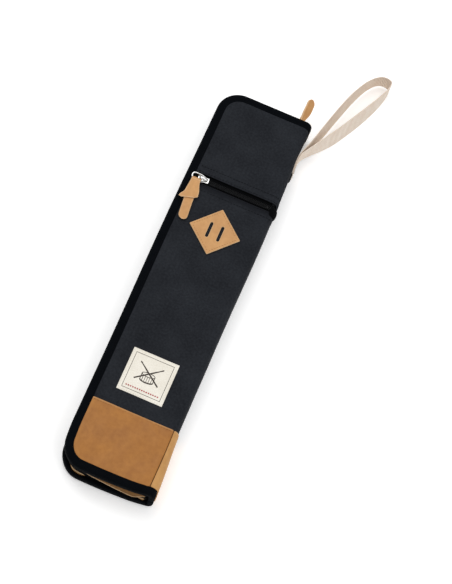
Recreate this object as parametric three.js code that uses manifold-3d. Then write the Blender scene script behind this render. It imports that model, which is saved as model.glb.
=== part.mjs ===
// A slim folding drum stick bag, closed and lying on its back cover.
// Millimetres. X runs across the bag with the spine at +X, Y runs along it with the strap end at +Y,
// and Z points up out of the front cover. The origin is the centre of the back cover's outer face.
import * as THREE from 'three'
import { mergeVertices } from 'three/addons/utils/BufferGeometryUtils.js'
import Module from 'manifold-3d'

const wasm = await Module()
wasm.setup()

// Driving dimensions
const WIDTH = 105
const LENGTH = 484
const THICKNESS = 35
const CORNER_RADIUS = 26
const FOLD_RADIUS = 8
const BAND_WIDTH = 9.5
const GAP = 0.3
const LEATHER_BASE_LENGTH = 78
const POCKET_ZIP_FROM_TOP = 120.5
const PATCH_FROM_TOP = 174.8
const LABEL_FROM_TOP = 362
const STRAP_FROM_TOP = 55

const LEFT = -WIDTH / 2
const RIGHT = WIDTH / 2
const TOP = LENGTH / 2
const BOTTOM = -LENGTH / 2
const FOLD_X = RIGHT - FOLD_RADIUS
const COVER_EDGE_X = FOLD_X - GAP
const PANEL_TOP = TOP - BAND_WIDTH
const PANEL_BOTTOM = BOTTOM + BAND_WIDTH
const LEATHER_TOP = BOTTOM + LEATHER_BASE_LENGTH
const POCKET_ZIP_Y = TOP - POCKET_ZIP_FROM_TOP

// Layers of the covers, as [lowest, highest]
const BACK_SHELL = [0, 1.4]
const BACK_BOARD = [1.7, 4.1]
const BACK_LINING = [4.4, 5.2]
const BACK_BAND = [0, 7.8]
const FRONT_LINING = [26.7, 27.5]
const FRONT_BOARD = [27.8, 30.2]
const POCKET_WALL = [30.5, 31.3]
const POCKET_TAPE = [32.9, 33.3]
const FRONT_SHELL = [33.6, THICKNESS]
const FRONT_BAND = [27.2, THICKNESS + 0.5]

// The zip round the rim, layer by layer from the back cover up to the front one
const RIM_MIDDLE = BACK_BAND[1] / 2 + FRONT_BAND[0] / 2
const TOOTH_SPACE = 0.9
const TOOTH_HEIGHT = 2.2
const TAPE_HEIGHT = 2.6
const RIM_INSET = 3
const GUSSET_THICKNESS = 1.4
const ZIP_INSET = 3.2
const TAPE_THICKNESS = 0.8
const TOOTH_THICKNESS = 2
const SLIDER_PLATE = 1.2
const BAIL_WIDTH = 9
const BAIL_WIRE = 1.1

const FABRIC = { color: 0x26292e, roughness: 0.85, metalness: 0 }
const BAND_FABRIC = { color: 0x12161e, roughness: 0.8, metalness: 0 }
const LINING_FABRIC = { color: 0x1b1d20, roughness: 0.8, metalness: 0 }
const FOAM = { color: 0x3a3a3c, roughness: 0.95, metalness: 0 }
const LEATHER = { color: 0xb07a44, roughness: 0.7, metalness: 0 }
const PALE_LEATHER = { color: 0xc8965a, roughness: 0.65, metalness: 0 }
const WEBBING = { color: 0xdccfbb, roughness: 0.9, metalness: 0 }
const ZIP_FABRIC = { color: 0x141519, roughness: 0.8, metalness: 0 }
const ZIP_COIL = { color: 0x18191c, roughness: 0.45, metalness: 0 }
const LABEL_CLOTH = { color: 0xece6da, roughness: 0.8, metalness: 0 }
const NICKEL = { color: 0xd0d2d4, roughness: 0.2, metalness: 1 }

const bag = new THREE.Group()

function piece(name, geometry, finish) {
  const mesh = new THREE.Mesh(geometry, new THREE.MeshStandardMaterial(finish))
  mesh.name = name
  bag.add(mesh)
  return mesh
}

function solid(geometry) {
  const bare = geometry.clone()
  bare.deleteAttribute('normal')
  bare.deleteAttribute('uv')
  const merged = mergeVertices(bare, 1e-4)
  return new wasm.Manifold(new wasm.Mesh({
    numProp: 3,
    vertProperties: new Float32Array(merged.attributes.position.array),
    triVerts: new Uint32Array(merged.index.array),
  }))
}

function geometryOf(manifold) {
  const mesh = manifold.getMesh()
  const geometry = new THREE.BufferGeometry()
  geometry.setAttribute('position', new THREE.BufferAttribute(new Float32Array(mesh.vertProperties), 3))
  geometry.setIndex(new THREE.BufferAttribute(new Uint32Array(mesh.triVerts), 1))
  geometry.computeVertexNormals()
  return geometry
}

function joined(first, ...others) {
  return geometryOf(others.reduce((sum, other) => sum.add(solid(other)), solid(first)))
}

function cut(first, ...others) {
  return geometryOf(others.reduce((rest, other) => rest.subtract(solid(other)), solid(first)))
}

function box(x, y, z) {
  const geometry = new THREE.BoxGeometry(x[1] - x[0], y[1] - y[0], z[1] - z[0])
  return geometry.translate((x[0] + x[1]) / 2, (y[0] + y[1]) / 2, (z[0] + z[1]) / 2)
}

function slab(plan, z, curveSegments = 5) {
  const geometry = new THREE.ExtrudeGeometry(plan, { depth: z[1] - z[0], bevelEnabled: false, curveSegments })
  return geometry.translate(0, 0, z[0])
}

// An outline drawn in X and Z, run along Y from y[0] to y[1]
function alongBag(profile, y, curveSegments = 5) {
  const depth = y[1] - y[0]
  const geometry = new THREE.ExtrudeGeometry(profile, { depth, bevelEnabled: false, curveSegments })
  return geometry.rotateX(Math.PI / 2).translate(0, y[1], 0)
}

// Plan of a cover's layer: rounded at the free corners, square at the spine
function coverPlan(inset, yBottom, yTop, xEnd = COVER_EDGE_X) {
  const radius = CORNER_RADIUS - inset
  const x = LEFT + inset
  const plan = new THREE.Shape()
  plan.moveTo(xEnd, yBottom)
  plan.lineTo(xEnd, yTop)
  if (yTop > TOP - CORNER_RADIUS) {
    plan.absarc(x + radius, TOP - inset - radius, radius, Math.PI / 2, Math.PI, false)
  } else {
    plan.lineTo(x, yTop)
  }
  if (yBottom < BOTTOM + CORNER_RADIUS) {
    plan.absarc(x + radius, BOTTOM + inset + radius, radius, Math.PI, Math.PI * 1.5, false)
  } else {
    plan.lineTo(x, yBottom)
  }
  return plan
}

// Plan of a strip that runs round a cover's top, free side and bottom, between two insets
function rimPlan(outer, inner) {
  const outerRadius = CORNER_RADIUS - outer
  const innerRadius = CORNER_RADIUS - inner
  const x = LEFT + CORNER_RADIUS
  const yTop = TOP - CORNER_RADIUS
  const yBottom = BOTTOM + CORNER_RADIUS
  const plan = new THREE.Shape()
  plan.moveTo(COVER_EDGE_X, TOP - outer)
  plan.lineTo(x, TOP - outer)
  plan.absarc(x, yTop, outerRadius, Math.PI / 2, Math.PI, false)
  plan.absarc(x, yBottom, outerRadius, Math.PI, Math.PI * 1.5, false)
  plan.lineTo(COVER_EDGE_X, BOTTOM + outer)
  plan.lineTo(COVER_EDGE_X, BOTTOM + inner)
  plan.absarc(x, yBottom, innerRadius, Math.PI * 1.5, Math.PI, true)
  plan.absarc(x, yTop, innerRadius, Math.PI, Math.PI / 2, true)
  plan.lineTo(COVER_EDGE_X, TOP - inner)
  return plan
}

// The spine's C section: a wall with a quarter-round fold at the back and at the front
function spineProfile(thickness) {
  const inner = FOLD_RADIUS - thickness
  const zBack = FOLD_RADIUS
  const zFront = THICKNESS - FOLD_RADIUS
  const profile = new THREE.Shape()
  profile.moveTo(FOLD_X, 0)
  profile.absarc(FOLD_X, zBack, FOLD_RADIUS, -Math.PI / 2, 0, false)
  profile.absarc(FOLD_X, zFront, FOLD_RADIUS, 0, Math.PI / 2, false)
  profile.absarc(FOLD_X, zFront, inner, Math.PI / 2, 0, true)
  profile.absarc(FOLD_X, zBack, inner, 0, -Math.PI / 2, true)
  return profile
}

function strips(side, z, finishes) {
  const leatherSpan = box([LEFT - 1, RIGHT], [BOTTOM - 1, LEATHER_TOP], z)
  const fabricSpan = box([LEFT - 1, RIGHT], [LEATHER_TOP + GAP, TOP + 1], z)
  const gusset = slab(rimPlan(RIM_INSET, RIM_INSET + GUSSET_THICKNESS), z)
  const part = (span) => geometryOf(solid(gusset).intersect(solid(span)))
  piece(`${side}_gusset`, part(fabricSpan), finishes[0])
  piece(`${side}_gusset_leather`, part(leatherSpan), finishes[1])
}

// One half of the zip round the rim: gusset, tape and coil, going out from a cover's band to the middle
function rimHalf(side, bandEdge, direction) {
  const span = (from, to) => [Math.min(from, to), Math.max(from, to)]
  const tooth = RIM_MIDDLE - direction * TOOTH_SPACE / 2
  const toothEnd = tooth - direction * TOOTH_HEIGHT
  const tape = toothEnd - direction * GAP
  const tapeEnd = tape - direction * TAPE_HEIGHT
  const zipMiddle = ZIP_INSET + TOOTH_THICKNESS / 2
  const tapeEdges = [zipMiddle - TAPE_THICKNESS / 2, zipMiddle + TAPE_THICKNESS / 2]
  strips(side, span(bandEdge + direction * GAP, tapeEnd - direction * GAP), [FABRIC, LEATHER])
  piece(`${side}_zip_tape`, slab(rimPlan(...tapeEdges), span(tape, tapeEnd)), ZIP_FABRIC)
  const coilPlan = rimPlan(ZIP_INSET, ZIP_INSET + TOOTH_THICKNESS)
  piece(`${side}_zip_teeth`, slab(coilPlan, span(tooth, toothEnd)), ZIP_COIL)
}

function backCover() {
  const inset = BAND_WIDTH + GAP
  const low = PANEL_BOTTOM + GAP
  const high = PANEL_TOP - GAP
  piece('back_shell', slab(coverPlan(inset, LEATHER_TOP + GAP, high), BACK_SHELL), FABRIC)
  piece('back_leather_base', slab(coverPlan(inset, low, LEATHER_TOP), BACK_SHELL), LEATHER)
  piece('back_foam_board', slab(coverPlan(inset, low, high), BACK_BOARD), FOAM)
  piece('back_lining', slab(coverPlan(inset, low, high), BACK_LINING), LINING_FABRIC)
  piece('back_binding', slab(rimPlan(0, BAND_WIDTH), BACK_BAND), BAND_FABRIC)
  rimHalf('back', BACK_BAND[1], 1)
}

function frontCover() {
  const inset = BAND_WIDTH + GAP
  const zipHalf = 4.6
  const low = PANEL_BOTTOM + GAP
  const high = PANEL_TOP - GAP
  const pocketPlan = coverPlan(inset, LEATHER_TOP + GAP, POCKET_ZIP_Y - zipHalf)
  piece('front_upper_panel', slab(coverPlan(inset, POCKET_ZIP_Y + zipHalf, high), FRONT_SHELL), FABRIC)
  piece('pocket_panel', slab(pocketPlan, FRONT_SHELL), FABRIC)
  piece('front_leather_base', slab(coverPlan(inset, low, LEATHER_TOP), FRONT_SHELL), LEATHER)
  piece('pocket_back_wall', slab(coverPlan(inset, low, high), POCKET_WALL), LINING_FABRIC)
  piece('front_foam_board', slab(coverPlan(inset, low, high), FRONT_BOARD), FOAM)
  piece('front_lining', slab(coverPlan(inset, low, high), FRONT_LINING), LINING_FABRIC)
  piece('front_binding', slab(rimPlan(0, BAND_WIDTH), FRONT_BAND), BAND_FABRIC)
  rimHalf('front', FRONT_BAND[0], -1)
}

function spine() {
  const shell = spineProfile(FRONT_SHELL[1] - FRONT_SHELL[0])
  const endBand = spineProfile(FOLD_RADIUS - GAP)
  piece('spine_shell', alongBag(shell, [LEATHER_TOP + GAP, PANEL_TOP]), FABRIC)
  piece('spine_leather_base', alongBag(shell, [PANEL_BOTTOM, LEATHER_TOP]), LEATHER)
  piece('spine_binding_top', alongBag(endBand, [PANEL_TOP + GAP, TOP]), BAND_FABRIC)
  piece('spine_binding_bottom', alongBag(endBand, [BOTTOM, PANEL_BOTTOM - GAP]), BAND_FABRIC)
  const length = [PANEL_BOTTOM, PANEL_TOP]
  const wall = [FOLD_RADIUS + 1, THICKNESS - FOLD_RADIUS - 1]
  const padding = [RIGHT - 4.5, RIGHT - 1.7]
  const lining = [padding[0] - GAP - 0.8, padding[0] - GAP]
  piece('spine_padding', box(padding, length, wall), FOAM)
  piece('spine_lining', box(lining, length, wall), LINING_FABRIC)
}

// The zip across the front, which opens the flat pocket behind the pocket panel
function pocketZip() {
  const xSpan = [LEFT + BAND_WIDTH + GAP, COVER_EDGE_X]
  const toothInner = TOOTH_SPACE / 2
  const toothOuter = toothInner + 1.7
  const tapeOuter = 10
  for (const [name, direction] of [['upper', 1], ['lower', -1]]) {
    const edge = (distance) => POCKET_ZIP_Y + direction * distance
    const strip = (inner, outer, z) => box(xSpan, [edge(inner), edge(outer)].sort((a, b) => a - b), z)
    piece(`pocket_zip_tape_${name}`, strip(toothInner, tapeOuter, POCKET_TAPE), ZIP_FABRIC)
    piece(`pocket_zip_teeth_${name}`, strip(toothInner, toothOuter, FRONT_SHELL), ZIP_COIL)
  }
}

// A slider drawn with its travel along X and its outer face up, its middle at the origin.
// The plates run above and below the coils, and the post joins them in the space between the coils.
function sliderBody(plateTop, plateBottom) {
  const halfLength = 5
  const halfWidth = 4.2
  const plan = new THREE.Shape()
  plan.moveTo(halfLength, -halfWidth)
  plan.lineTo(halfLength, halfWidth)
  plan.lineTo(-halfLength / 2, halfWidth)
  plan.lineTo(-halfLength, halfWidth / 2)
  plan.lineTo(-halfLength, -halfWidth / 2)
  plan.lineTo(-halfLength / 2, -halfWidth)
  const upper = slab(plan, [plateTop, plateTop + SLIDER_PLATE])
  const lower = slab(plan, [plateBottom - SLIDER_PLATE, plateBottom])
  const post = box([1, 4.5], [-0.2, 0.2], [plateBottom - 0.5, plateTop + 0.5])
  const bridge = box([-3, 4], [-1, 1], [plateTop + 1, plateTop + SLIDER_PLATE + 2.8])
  const eye = box([-1.6, 1.6], [-2, 2], [plateTop + SLIDER_PLATE + 0.3, plateTop + SLIDER_PLATE + 2.1])
  return joined(cut(bridge, eye), upper, lower, post)
}

// A wire bail with its pin at the origin along Y, reaching towards -X
function bailLoop(reach) {
  const corner = 2.5
  const outline = (inset) => {
    const shape = new THREE.Shape()
    const half = BAIL_WIDTH / 2 - inset
    shape.moveTo(BAIL_WIRE / 2 - inset, -half)
    shape.lineTo(BAIL_WIRE / 2 - inset, half)
    shape.absarc(corner - reach, BAIL_WIDTH / 2 - corner, corner - inset, Math.PI / 2, Math.PI, false)
    shape.absarc(corner - reach, corner - BAIL_WIDTH / 2, corner - inset, Math.PI, Math.PI * 1.5, false)
    return shape
  }
  return cut(slab(outline(0), [-BAIL_WIRE / 2, BAIL_WIRE / 2]), slab(outline(BAIL_WIRE), [-1, 1]))
}

// The pocket's leather pull lies on the front cover. Its head wraps the bail's lower side, at the origin,
// and flares to a blunt point, and a round-ended tail comes out from under it towards -Y.
function pocketPull() {
  const tailRadius = 5.3
  const plan = new THREE.Shape()
  plan.moveTo(-tailRadius, -30)
  plan.lineTo(-tailRadius, -48)
  plan.absarc(0, -48, tailRadius, Math.PI, Math.PI * 2, false)
  plan.lineTo(tailRadius, -30)
  plan.lineTo(10.5, -27)
  plan.lineTo(9, -21)
  plan.lineTo(5.5, 0)
  plan.lineTo(-5.5, 0)
  plan.lineTo(-9, -21)
  plan.lineTo(-10.5, -27)
  return slab(plan, [-0.5, 2.2])
}

// The main zip's pull is a paddle that points to +Y, with its held end at the origin
function mainPull() {
  const tipRadius = 4.8
  const tipY = 24.7
  const plan = new THREE.Shape()
  plan.moveTo(-3, 0)
  plan.lineTo(3, 0)
  plan.lineTo(tipRadius, tipY)
  plan.absarc(0, tipY, tipRadius, 0, Math.PI, false)
  return slab(plan, [-1.4, 1.4])
}

function sliders() {
  const pinHeight = SLIDER_PLATE + 1.2
  const pocketX = -33
  const pocketReach = 14
  const pullOffset = 8.5
  const pullClearance = 0.7
  const sliderTop = FRONT_SHELL[1] + GAP
  const sliderBottom = POCKET_TAPE[0] - GAP
  const bailZ = sliderTop + pinHeight
  const armY = POCKET_ZIP_Y - BAIL_WIDTH / 2 + BAIL_WIRE / 2
  piece('pocket_slider', sliderBody(sliderTop, sliderBottom).rotateZ(Math.PI)
    .translate(pocketX, POCKET_ZIP_Y, 0), NICKEL)
  piece('pocket_bail', bailLoop(pocketReach).translate(pocketX, POCKET_ZIP_Y, bailZ), NICKEL)
  piece('pocket_pull', pocketPull()
    .translate(pocketX - pullOffset, armY - BAIL_WIRE / 2 - pullClearance, bailZ), PALE_LEATHER)

  const mainX = 39
  const mainReach = 8
  const zipY = TOP - ZIP_INSET - TOOTH_THICKNESS / 2
  const half = TOOTH_THICKNESS / 2 + GAP
  const bailY = zipY + half + pinHeight
  piece('main_slider', sliderBody(half, -half).rotateX(-Math.PI / 2)
    .translate(mainX, zipY, RIM_MIDDLE), NICKEL)
  piece('main_bail', bailLoop(mainReach).rotateX(-Math.PI / 2).rotateZ(-Math.PI / 2)
    .translate(mainX, bailY, RIM_MIDDLE), NICKEL)
  piece('main_pull', mainPull().rotateY(Math.PI / 3)
    .translate(mainX, bailY + mainReach + GAP, RIM_MIDDLE), PALE_LEATHER)
}

function lashPatch() {
  const half = 29
  const shift = 1.7
  const turn = THREE.MathUtils.degToRad(3.3)
  const slotSpacing = 13
  const slotRadius = 1.4
  const slotHalf = 8.5
  const plan = new THREE.Shape()
  plan.moveTo(half, 0)
  plan.lineTo(0, half)
  plan.lineTo(-half, 0)
  plan.lineTo(0, -half)
  for (const x of [-slotSpacing / 2, slotSpacing / 2]) {
    const slot = new THREE.Path()
    slot.absarc(x, slotHalf - slotRadius, slotRadius, 0, Math.PI, false)
    slot.absarc(x, slotRadius - slotHalf, slotRadius, Math.PI, Math.PI * 2, false)
    plan.holes.push(slot)
  }
  const z = THICKNESS + GAP
  piece('lash_patch', slab(plan, [z, z + 1.6]).rotateZ(turn).translate(shift, TOP - PATCH_FROM_TOP, 0),
    PALE_LEATHER)
}

function label() {
  const half = 25.6
  const z = THICKNESS + GAP
  piece('label', box([-half, half], [TOP - LABEL_FROM_TOP - half, TOP - LABEL_FROM_TOP + half], [z, z + 0.8]),
    LABEL_CLOTH)
}

// Three channels for sticks, sewn to the back cover's lining and open at the strap end
function stickSleeves() {
  const pitch = 28
  const channelHalf = 13
  const height = 15
  const cloth = 1
  const hem = 1.5
  const base = BACK_LINING[1] + GAP
  const hemEdge = pitch + channelHalf + hem
  const mouth = 58
  const foot = BOTTOM + CORNER_RADIUS
  const profile = (wall) => {
    const outline = new THREE.Shape()
    outline.moveTo(-hemEdge, base)
    outline.lineTo(-hemEdge, base + cloth)
    for (const x of [-pitch, 0, pitch]) {
      outline.absellipse(x, base + cloth, channelHalf, height + wall - cloth, Math.PI, 0, true)
    }
    outline.lineTo(hemEdge, base + cloth)
    outline.lineTo(hemEdge, base)
    for (const x of [pitch, 0, -pitch]) {
      outline.absellipse(x, base, channelHalf - cloth, height, 0, Math.PI, false)
    }
    return outline
  }
  const wallAt = (y) => box([-pitch - channelHalf, pitch + channelHalf], [y, y + 1.2], [base, base + 6])
  piece('stick_sleeves', joined(alongBag(profile(cloth), [foot, mouth]), wallAt(foot)), LINING_FABRIC)
  piece('sleeve_mouth_binding', alongBag(profile(cloth + 0.4), [mouth + GAP, mouth + 6]), BAND_FABRIC)
}

function slipPocket() {
  const x = [-38, 38]
  const mouth = -20
  const z = [FRONT_LINING[0] - GAP - 1, FRONT_LINING[0] - GAP]
  piece('inner_slip_pocket', box(x, [mouth - 180, mouth], z), LINING_FABRIC)
  piece('slip_pocket_binding', box(x, [mouth + GAP, mouth + 7], [z[0] - 0.4, z[1]]), BAND_FABRIC)
}

// The hand strap is one length of webbing folded into a teardrop loop, with both ends stacked on a patch
// on the spine. The loop is drawn flat, with s along it and t across it, and its webbing leans as it leaves
// the spine. It is cut from its sewn ends where it swings.
function handStrap() {
  const webWidth = 20
  const webThickness = 1.4
  const patchThickness = 1.1
  const ends = [-8, 16]
  const patchEnds = [-14, 13]
  const loopLength = 151
  const outAngle = THREE.MathUtils.degToRad(23.4)
  const leanAngle = THREE.MathUtils.degToRad(16)
  const leanOver = 52
  const sag = 6
  const rootX = RIGHT + GAP + patchThickness + GAP
  const rootY = TOP - STRAP_FROM_TOP
  const rootZ = THICKNESS / 2
  const swingX = rootX + webThickness
  const swingY = rootY + ends[1] + 2.2

  const side = new THREE.CubicBezierCurve(new THREE.Vector2(0, 0.9), new THREE.Vector2(40, 3),
    new THREE.Vector2(loopLength, 26), new THREE.Vector2(loopLength, 0))
  const steps = 20
  const outline = (offset, firstPoint) => {
    const left = side.getPoints(steps).map((point, index) => {
      const tangent = side.getTangent(index / steps)
      return new THREE.Vector2(point.x - tangent.y * offset, point.y + tangent.x * offset)
    }).slice(firstPoint)
    const right = left.map((point) => new THREE.Vector2(point.x, -point.y))
    return right.concat(left.slice(0, -1).reverse())
  }
  const plan = new THREE.Shape(outline(webThickness / 2, 0))
  plan.holes.push(new THREE.Path(outline(-webThickness / 2, 2)))
  const loop = slab(plan, [-webWidth / 2, webWidth / 2])

  const along = new THREE.Vector2(Math.sin(outAngle), Math.cos(outAngle))
  const across = new THREE.Vector2(-along.y, along.x)
  const position = loop.attributes.position
  for (let i = 0; i < position.count; i += 1) {
    const s = position.getX(i)
    const progress = THREE.MathUtils.smoothstep(s, 0, leanOver)
    const lean = leanAngle * progress
    const t = position.getY(i) + position.getZ(i) * Math.sin(lean)
    const up = position.getZ(i) * Math.cos(lean)
    position.setXYZ(i, along.x * s + across.x * t, along.y * s + across.y * t, up - sag * progress)
  }
  piece('hand_strap', loop.translate(swingX, swingY, rootZ), WEBBING)
  const onSpine = ([from, to]) => [rootY + from, rootY + to]
  piece('hand_strap_sewn_ends', box([rootX, rootX + 2 * webThickness], onSpine(ends),
    [rootZ - webWidth / 2, rootZ + webWidth / 2]), WEBBING)
  piece('strap_anchor_patch', box([RIGHT + GAP, rootX - GAP], onSpine(patchEnds),
    [rootZ - 11, rootZ + 11]), FABRIC)
}

backCover()
frontCover()
spine()
pocketZip()
sliders()
lashPatch()
label()
stickSleeves()
slipPocket()
handStrap()

export default bag
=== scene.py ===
# A drum stick bag, closed and lying on its back cover. The CAD model is the fixed frame, in metres.
# The pieces here are drawn in millimetres, in the same axes: X across with the spine at +X, Y along, Z up.
import math

import bmesh
import bpy
import numpy as np
from mathutils import Matrix, Vector, noise


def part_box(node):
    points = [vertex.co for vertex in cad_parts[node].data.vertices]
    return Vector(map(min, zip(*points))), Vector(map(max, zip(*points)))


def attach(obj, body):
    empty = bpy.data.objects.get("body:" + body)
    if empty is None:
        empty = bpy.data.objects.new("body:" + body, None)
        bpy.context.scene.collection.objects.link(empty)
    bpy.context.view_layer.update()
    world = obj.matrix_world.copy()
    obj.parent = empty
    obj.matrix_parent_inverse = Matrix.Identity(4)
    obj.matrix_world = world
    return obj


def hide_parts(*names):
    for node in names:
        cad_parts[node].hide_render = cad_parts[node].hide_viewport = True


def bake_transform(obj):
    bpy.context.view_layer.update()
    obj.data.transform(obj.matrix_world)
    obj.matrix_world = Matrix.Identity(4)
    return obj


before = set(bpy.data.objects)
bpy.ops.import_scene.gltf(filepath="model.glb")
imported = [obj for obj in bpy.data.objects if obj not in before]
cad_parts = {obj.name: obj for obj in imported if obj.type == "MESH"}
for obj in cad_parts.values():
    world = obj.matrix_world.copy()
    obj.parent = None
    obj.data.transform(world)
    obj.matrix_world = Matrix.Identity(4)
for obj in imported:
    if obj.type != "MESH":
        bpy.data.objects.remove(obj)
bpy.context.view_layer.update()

MM = 0.001


def cad(node):
    """The lowest and highest corners of a CAD node, in millimetres."""
    low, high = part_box(node)
    return np.array(low) / MM, np.array(high) / MM


def middle_and_half(node):
    """A CAD node's middle, and half its width in X."""
    low, high = cad(node)
    return (low + high) / 2, (high[0] - low[0]) / 2


# Driving sizes, from the CAD frame
HALF_WIDTH = cad("spine_shell")[1][0]
HEIGHT = cad("spine_shell")[1][2]
HALF_LENGTH = cad("front_binding")[1][1]
LEATHER_TOP = cad("front_leather_base")[1][1]
POCKET_ZIP_Y = (cad("pocket_zip_teeth_upper")[0][1] + cad("pocket_zip_teeth_lower")[1][1]) / 2
FOLD_RADIUS = 8.0
CORNER_RADIUS = 26.0
BAND_WIDTH = 9.5
SHELL = 1.3
BACK_FACE = 0.5
MID_Z = HEIGHT / 2
FOLD_X = HALF_WIDTH - FOLD_RADIUS
FOLD_ARC = FOLD_RADIUS * math.pi / 2
MID_S = FOLD_X + FOLD_ARC + HEIGHT - FOLD_RADIUS - MID_Z
TUCK = 6.0
HEM_ROWS = (1.9, 8.7)
BAIL_PIN = 0.55
PADDING_X = 47.3
HALF_WEB = 10.0
WEB_THICKNESS = 1.2
PLY = 0.63
SEWN_LOW, SEWN_HIGH = cad("hand_strap_sewn_ends")
SWING = (SEWN_LOW + SEWN_HIGH) / 2 + (-2.1, 0, 0)
SWING[1] = SEWN_HIGH[1] + 2.2
LABEL_MIDDLE, LABEL_HALF = middle_and_half("label")
PATCH_MIDDLE, PATCH_HALF = middle_and_half("lash_patch")
CLOTH_FRAMES = 20
CLOTH_PRESSURE = 0.6
RIM_ZIP_INSET = 4.2


# ---- small maths

def smoothstep(x, low, high):
    t = min(1.0, max(0.0, (x - low) / (high - low)))
    return t * t * (3 - 2 * t)


def pulse(x, low, high, soft):
    """1 between low and high, falling to 0 over soft on both sides."""
    return smoothstep(x, low - soft, low + soft) * (1 - smoothstep(x, high - soft, high + soft))


def spaced(a, b, step):
    """Numbers from a to just short of b, about step apart."""
    count = max(1, round(abs(b - a) / step))
    return [a + (b - a) * i / count for i in range(count)]


def unit(v):
    return v / np.maximum(np.linalg.norm(v, axis=-1, keepdims=True), 1e-9)


def ripple(x, y, z, size, seed=0.0):
    """Smooth seeded noise from about -1 to 1, with bumps about size apart."""
    return noise.noise(Vector((x / size + seed, y / size - seed, z / size)))


def to_back(points):
    """Front geometry turned over for the back: the face lands at BACK_FACE, and the middle stays."""
    points = np.array(points, float)
    points[:, 2] = BACK_FACE + (HEIGHT - points[:, 2]) * (MID_Z - BACK_FACE) / (HEIGHT - MID_Z)
    return points


def eased(values, low, high):
    """smoothstep for an array."""
    t = np.clip((values - low) / (high - low), 0, 1)
    return t * t * (3 - 2 * t)


def settled(points):
    """The padding swells both sides, the base flares and bows out, and the strap draws the spine in."""
    points = np.array(points, float)
    x, y = points[:, 0], points[:, 1]
    strap_dent = 1.4 * np.exp(-((y - 205) / 26) ** 2)
    spine_side = 1.3 * np.exp(-((y - 80) / 70) ** 2) + 4.0 * eased(-y, 150, 240) - strap_dent
    free_side = 1.4 * np.exp(-((y - 60) / 110) ** 2) - 1.8 * eased(-y, 195, 232)
    bow = 1.4 * np.clip(1 - ((x + 6) / 42) ** 2, 0, 1) - 2.0 * eased(x, 30, 52)
    points[:, 0] += eased(np.abs(x), 12, 52) * np.where(x > 0, spine_side, -free_side)
    points[:, 1] -= eased(-y, 195, 240) * bow
    return points


# ---- materials

def srgb(r, g, b):
    """A linear colour from 0-255 display values."""
    def one(c):
        c /= 255
        return c / 12.92 if c <= 0.04045 else ((c + 0.055) / 1.055) ** 2.4
    return (one(r), one(g), one(b), 1.0)


class Material:
    """A Principled material with short helpers for its nodes."""

    def __init__(self, name, slot, roughness, solid=False, **sockets):
        self.slot = slot
        self.solid = solid
        self.data = bpy.data.materials.new(name)
        self.data.use_nodes = True
        self.tree = self.data.node_tree
        self.shader = self.tree.nodes["Principled BSDF"]
        self.shader.inputs["Roughness"].default_value = roughness
        for socket, value in sockets.items():
            self.shader.inputs[socket.replace("_", " ")].default_value = value

    def add(self, kind, inputs=(), **settings):
        node = self.tree.nodes.new("ShaderNode" + kind)
        for key, value in settings.items():
            setattr(node, key, value)
        for key, value in dict(inputs).items():
            if isinstance(value, bpy.types.NodeSocket):
                self.tree.links.new(value, node.inputs[key])
            else:
                node.inputs[key].default_value = value
        return node

    def math(self, operation, a, b=0.0):
        return self.add("Math", {0: a, 1: b}, operation=operation).outputs[0]

    def place(self):
        """The surface's own metres, or the metres in space of a solid CAD node."""
        return self.add("TexCoord").outputs["Object"] if self.solid else self.add("UVMap").outputs[0]

    def uv(self):
        split = self.add("SeparateXYZ", {0: self.place()})
        return split.outputs[0], split.outputs[1]

    def wave(self, value, period):
        """A sine of a distance, with that period in millimetres."""
        return self.math("SINE", self.math("MULTIPLY", value, 2 * math.pi / (period * MM)))

    def cloud(self, size, detail, vector=None):
        """Noise from 0 to 1 with features about size millimetres across."""
        inputs = {"Vector": vector or self.place(), "Scale": 1 / (size * MM), "Detail": detail}
        return self.add("TexNoise", inputs).outputs["Fac"]

    def blend_colour(self, factor, a, b):
        node = self.add("Mix", {0: factor, 6: a, 7: b}, data_type="RGBA")
        return node.outputs[2]

    def spread(self, value, low, high, to_low=0.0, to_high=1.0):
        inputs = {0: value, 1: low, 2: high, 3: to_low, 4: to_high}
        return self.add("MapRange", inputs, clamp=True).outputs[0]

    def finish(self, colour, height=None, depth=0.1, roughness=None):
        """Joins colour, bump (depth in millimetres) and roughness to the shader."""
        self.tree.links.new(colour, self.shader.inputs["Base Color"])
        if height is not None:
            bump = self.add("Bump", {"Height": height, "Distance": depth * MM, "Strength": 1.0})
            self.tree.links.new(bump.outputs[0], self.shader.inputs["Normal"])
        if roughness is not None:
            self.tree.links.new(roughness, self.shader.inputs["Roughness"])
        return self


def woven(name, slot, dark, light, thread, depth=0.12, roughness=0.85, **sockets):
    """Plain weave, with slight slubs and cloudy shade, and painted shade where the mesh's mask is set."""
    m = Material(name, slot, roughness, **sockets)
    u, v = m.uv()
    weave = m.math("MULTIPLY", m.wave(u, thread), m.wave(v, thread))
    slubs = m.cloud(thread * 2.5, 2.0)
    height = m.math("MULTIPLY_ADD", weave, 0.35)
    height = m.math("ADD", height, slubs)
    shade = m.math("ADD", m.math("MULTIPLY", weave, 0.25), m.cloud(38, 4.0))
    factor = m.math("ADD", m.math("MULTIPLY", m.math("SUBTRACT", slubs, 0.5), 0.9), shade)
    # Painted shade: where the mask is set, the fabric is darkened as if it lay in shade.
    painted_shade = m.add("Attribute", attribute_name="wear_and_painted_light").outputs["Fac"]
    factor = m.math("SUBTRACT", factor, m.math("MULTIPLY", painted_shade, 0.6))
    return m.finish(m.blend_colour(m.spread(factor, 0.15, 0.95), dark, light), height, depth)


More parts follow.
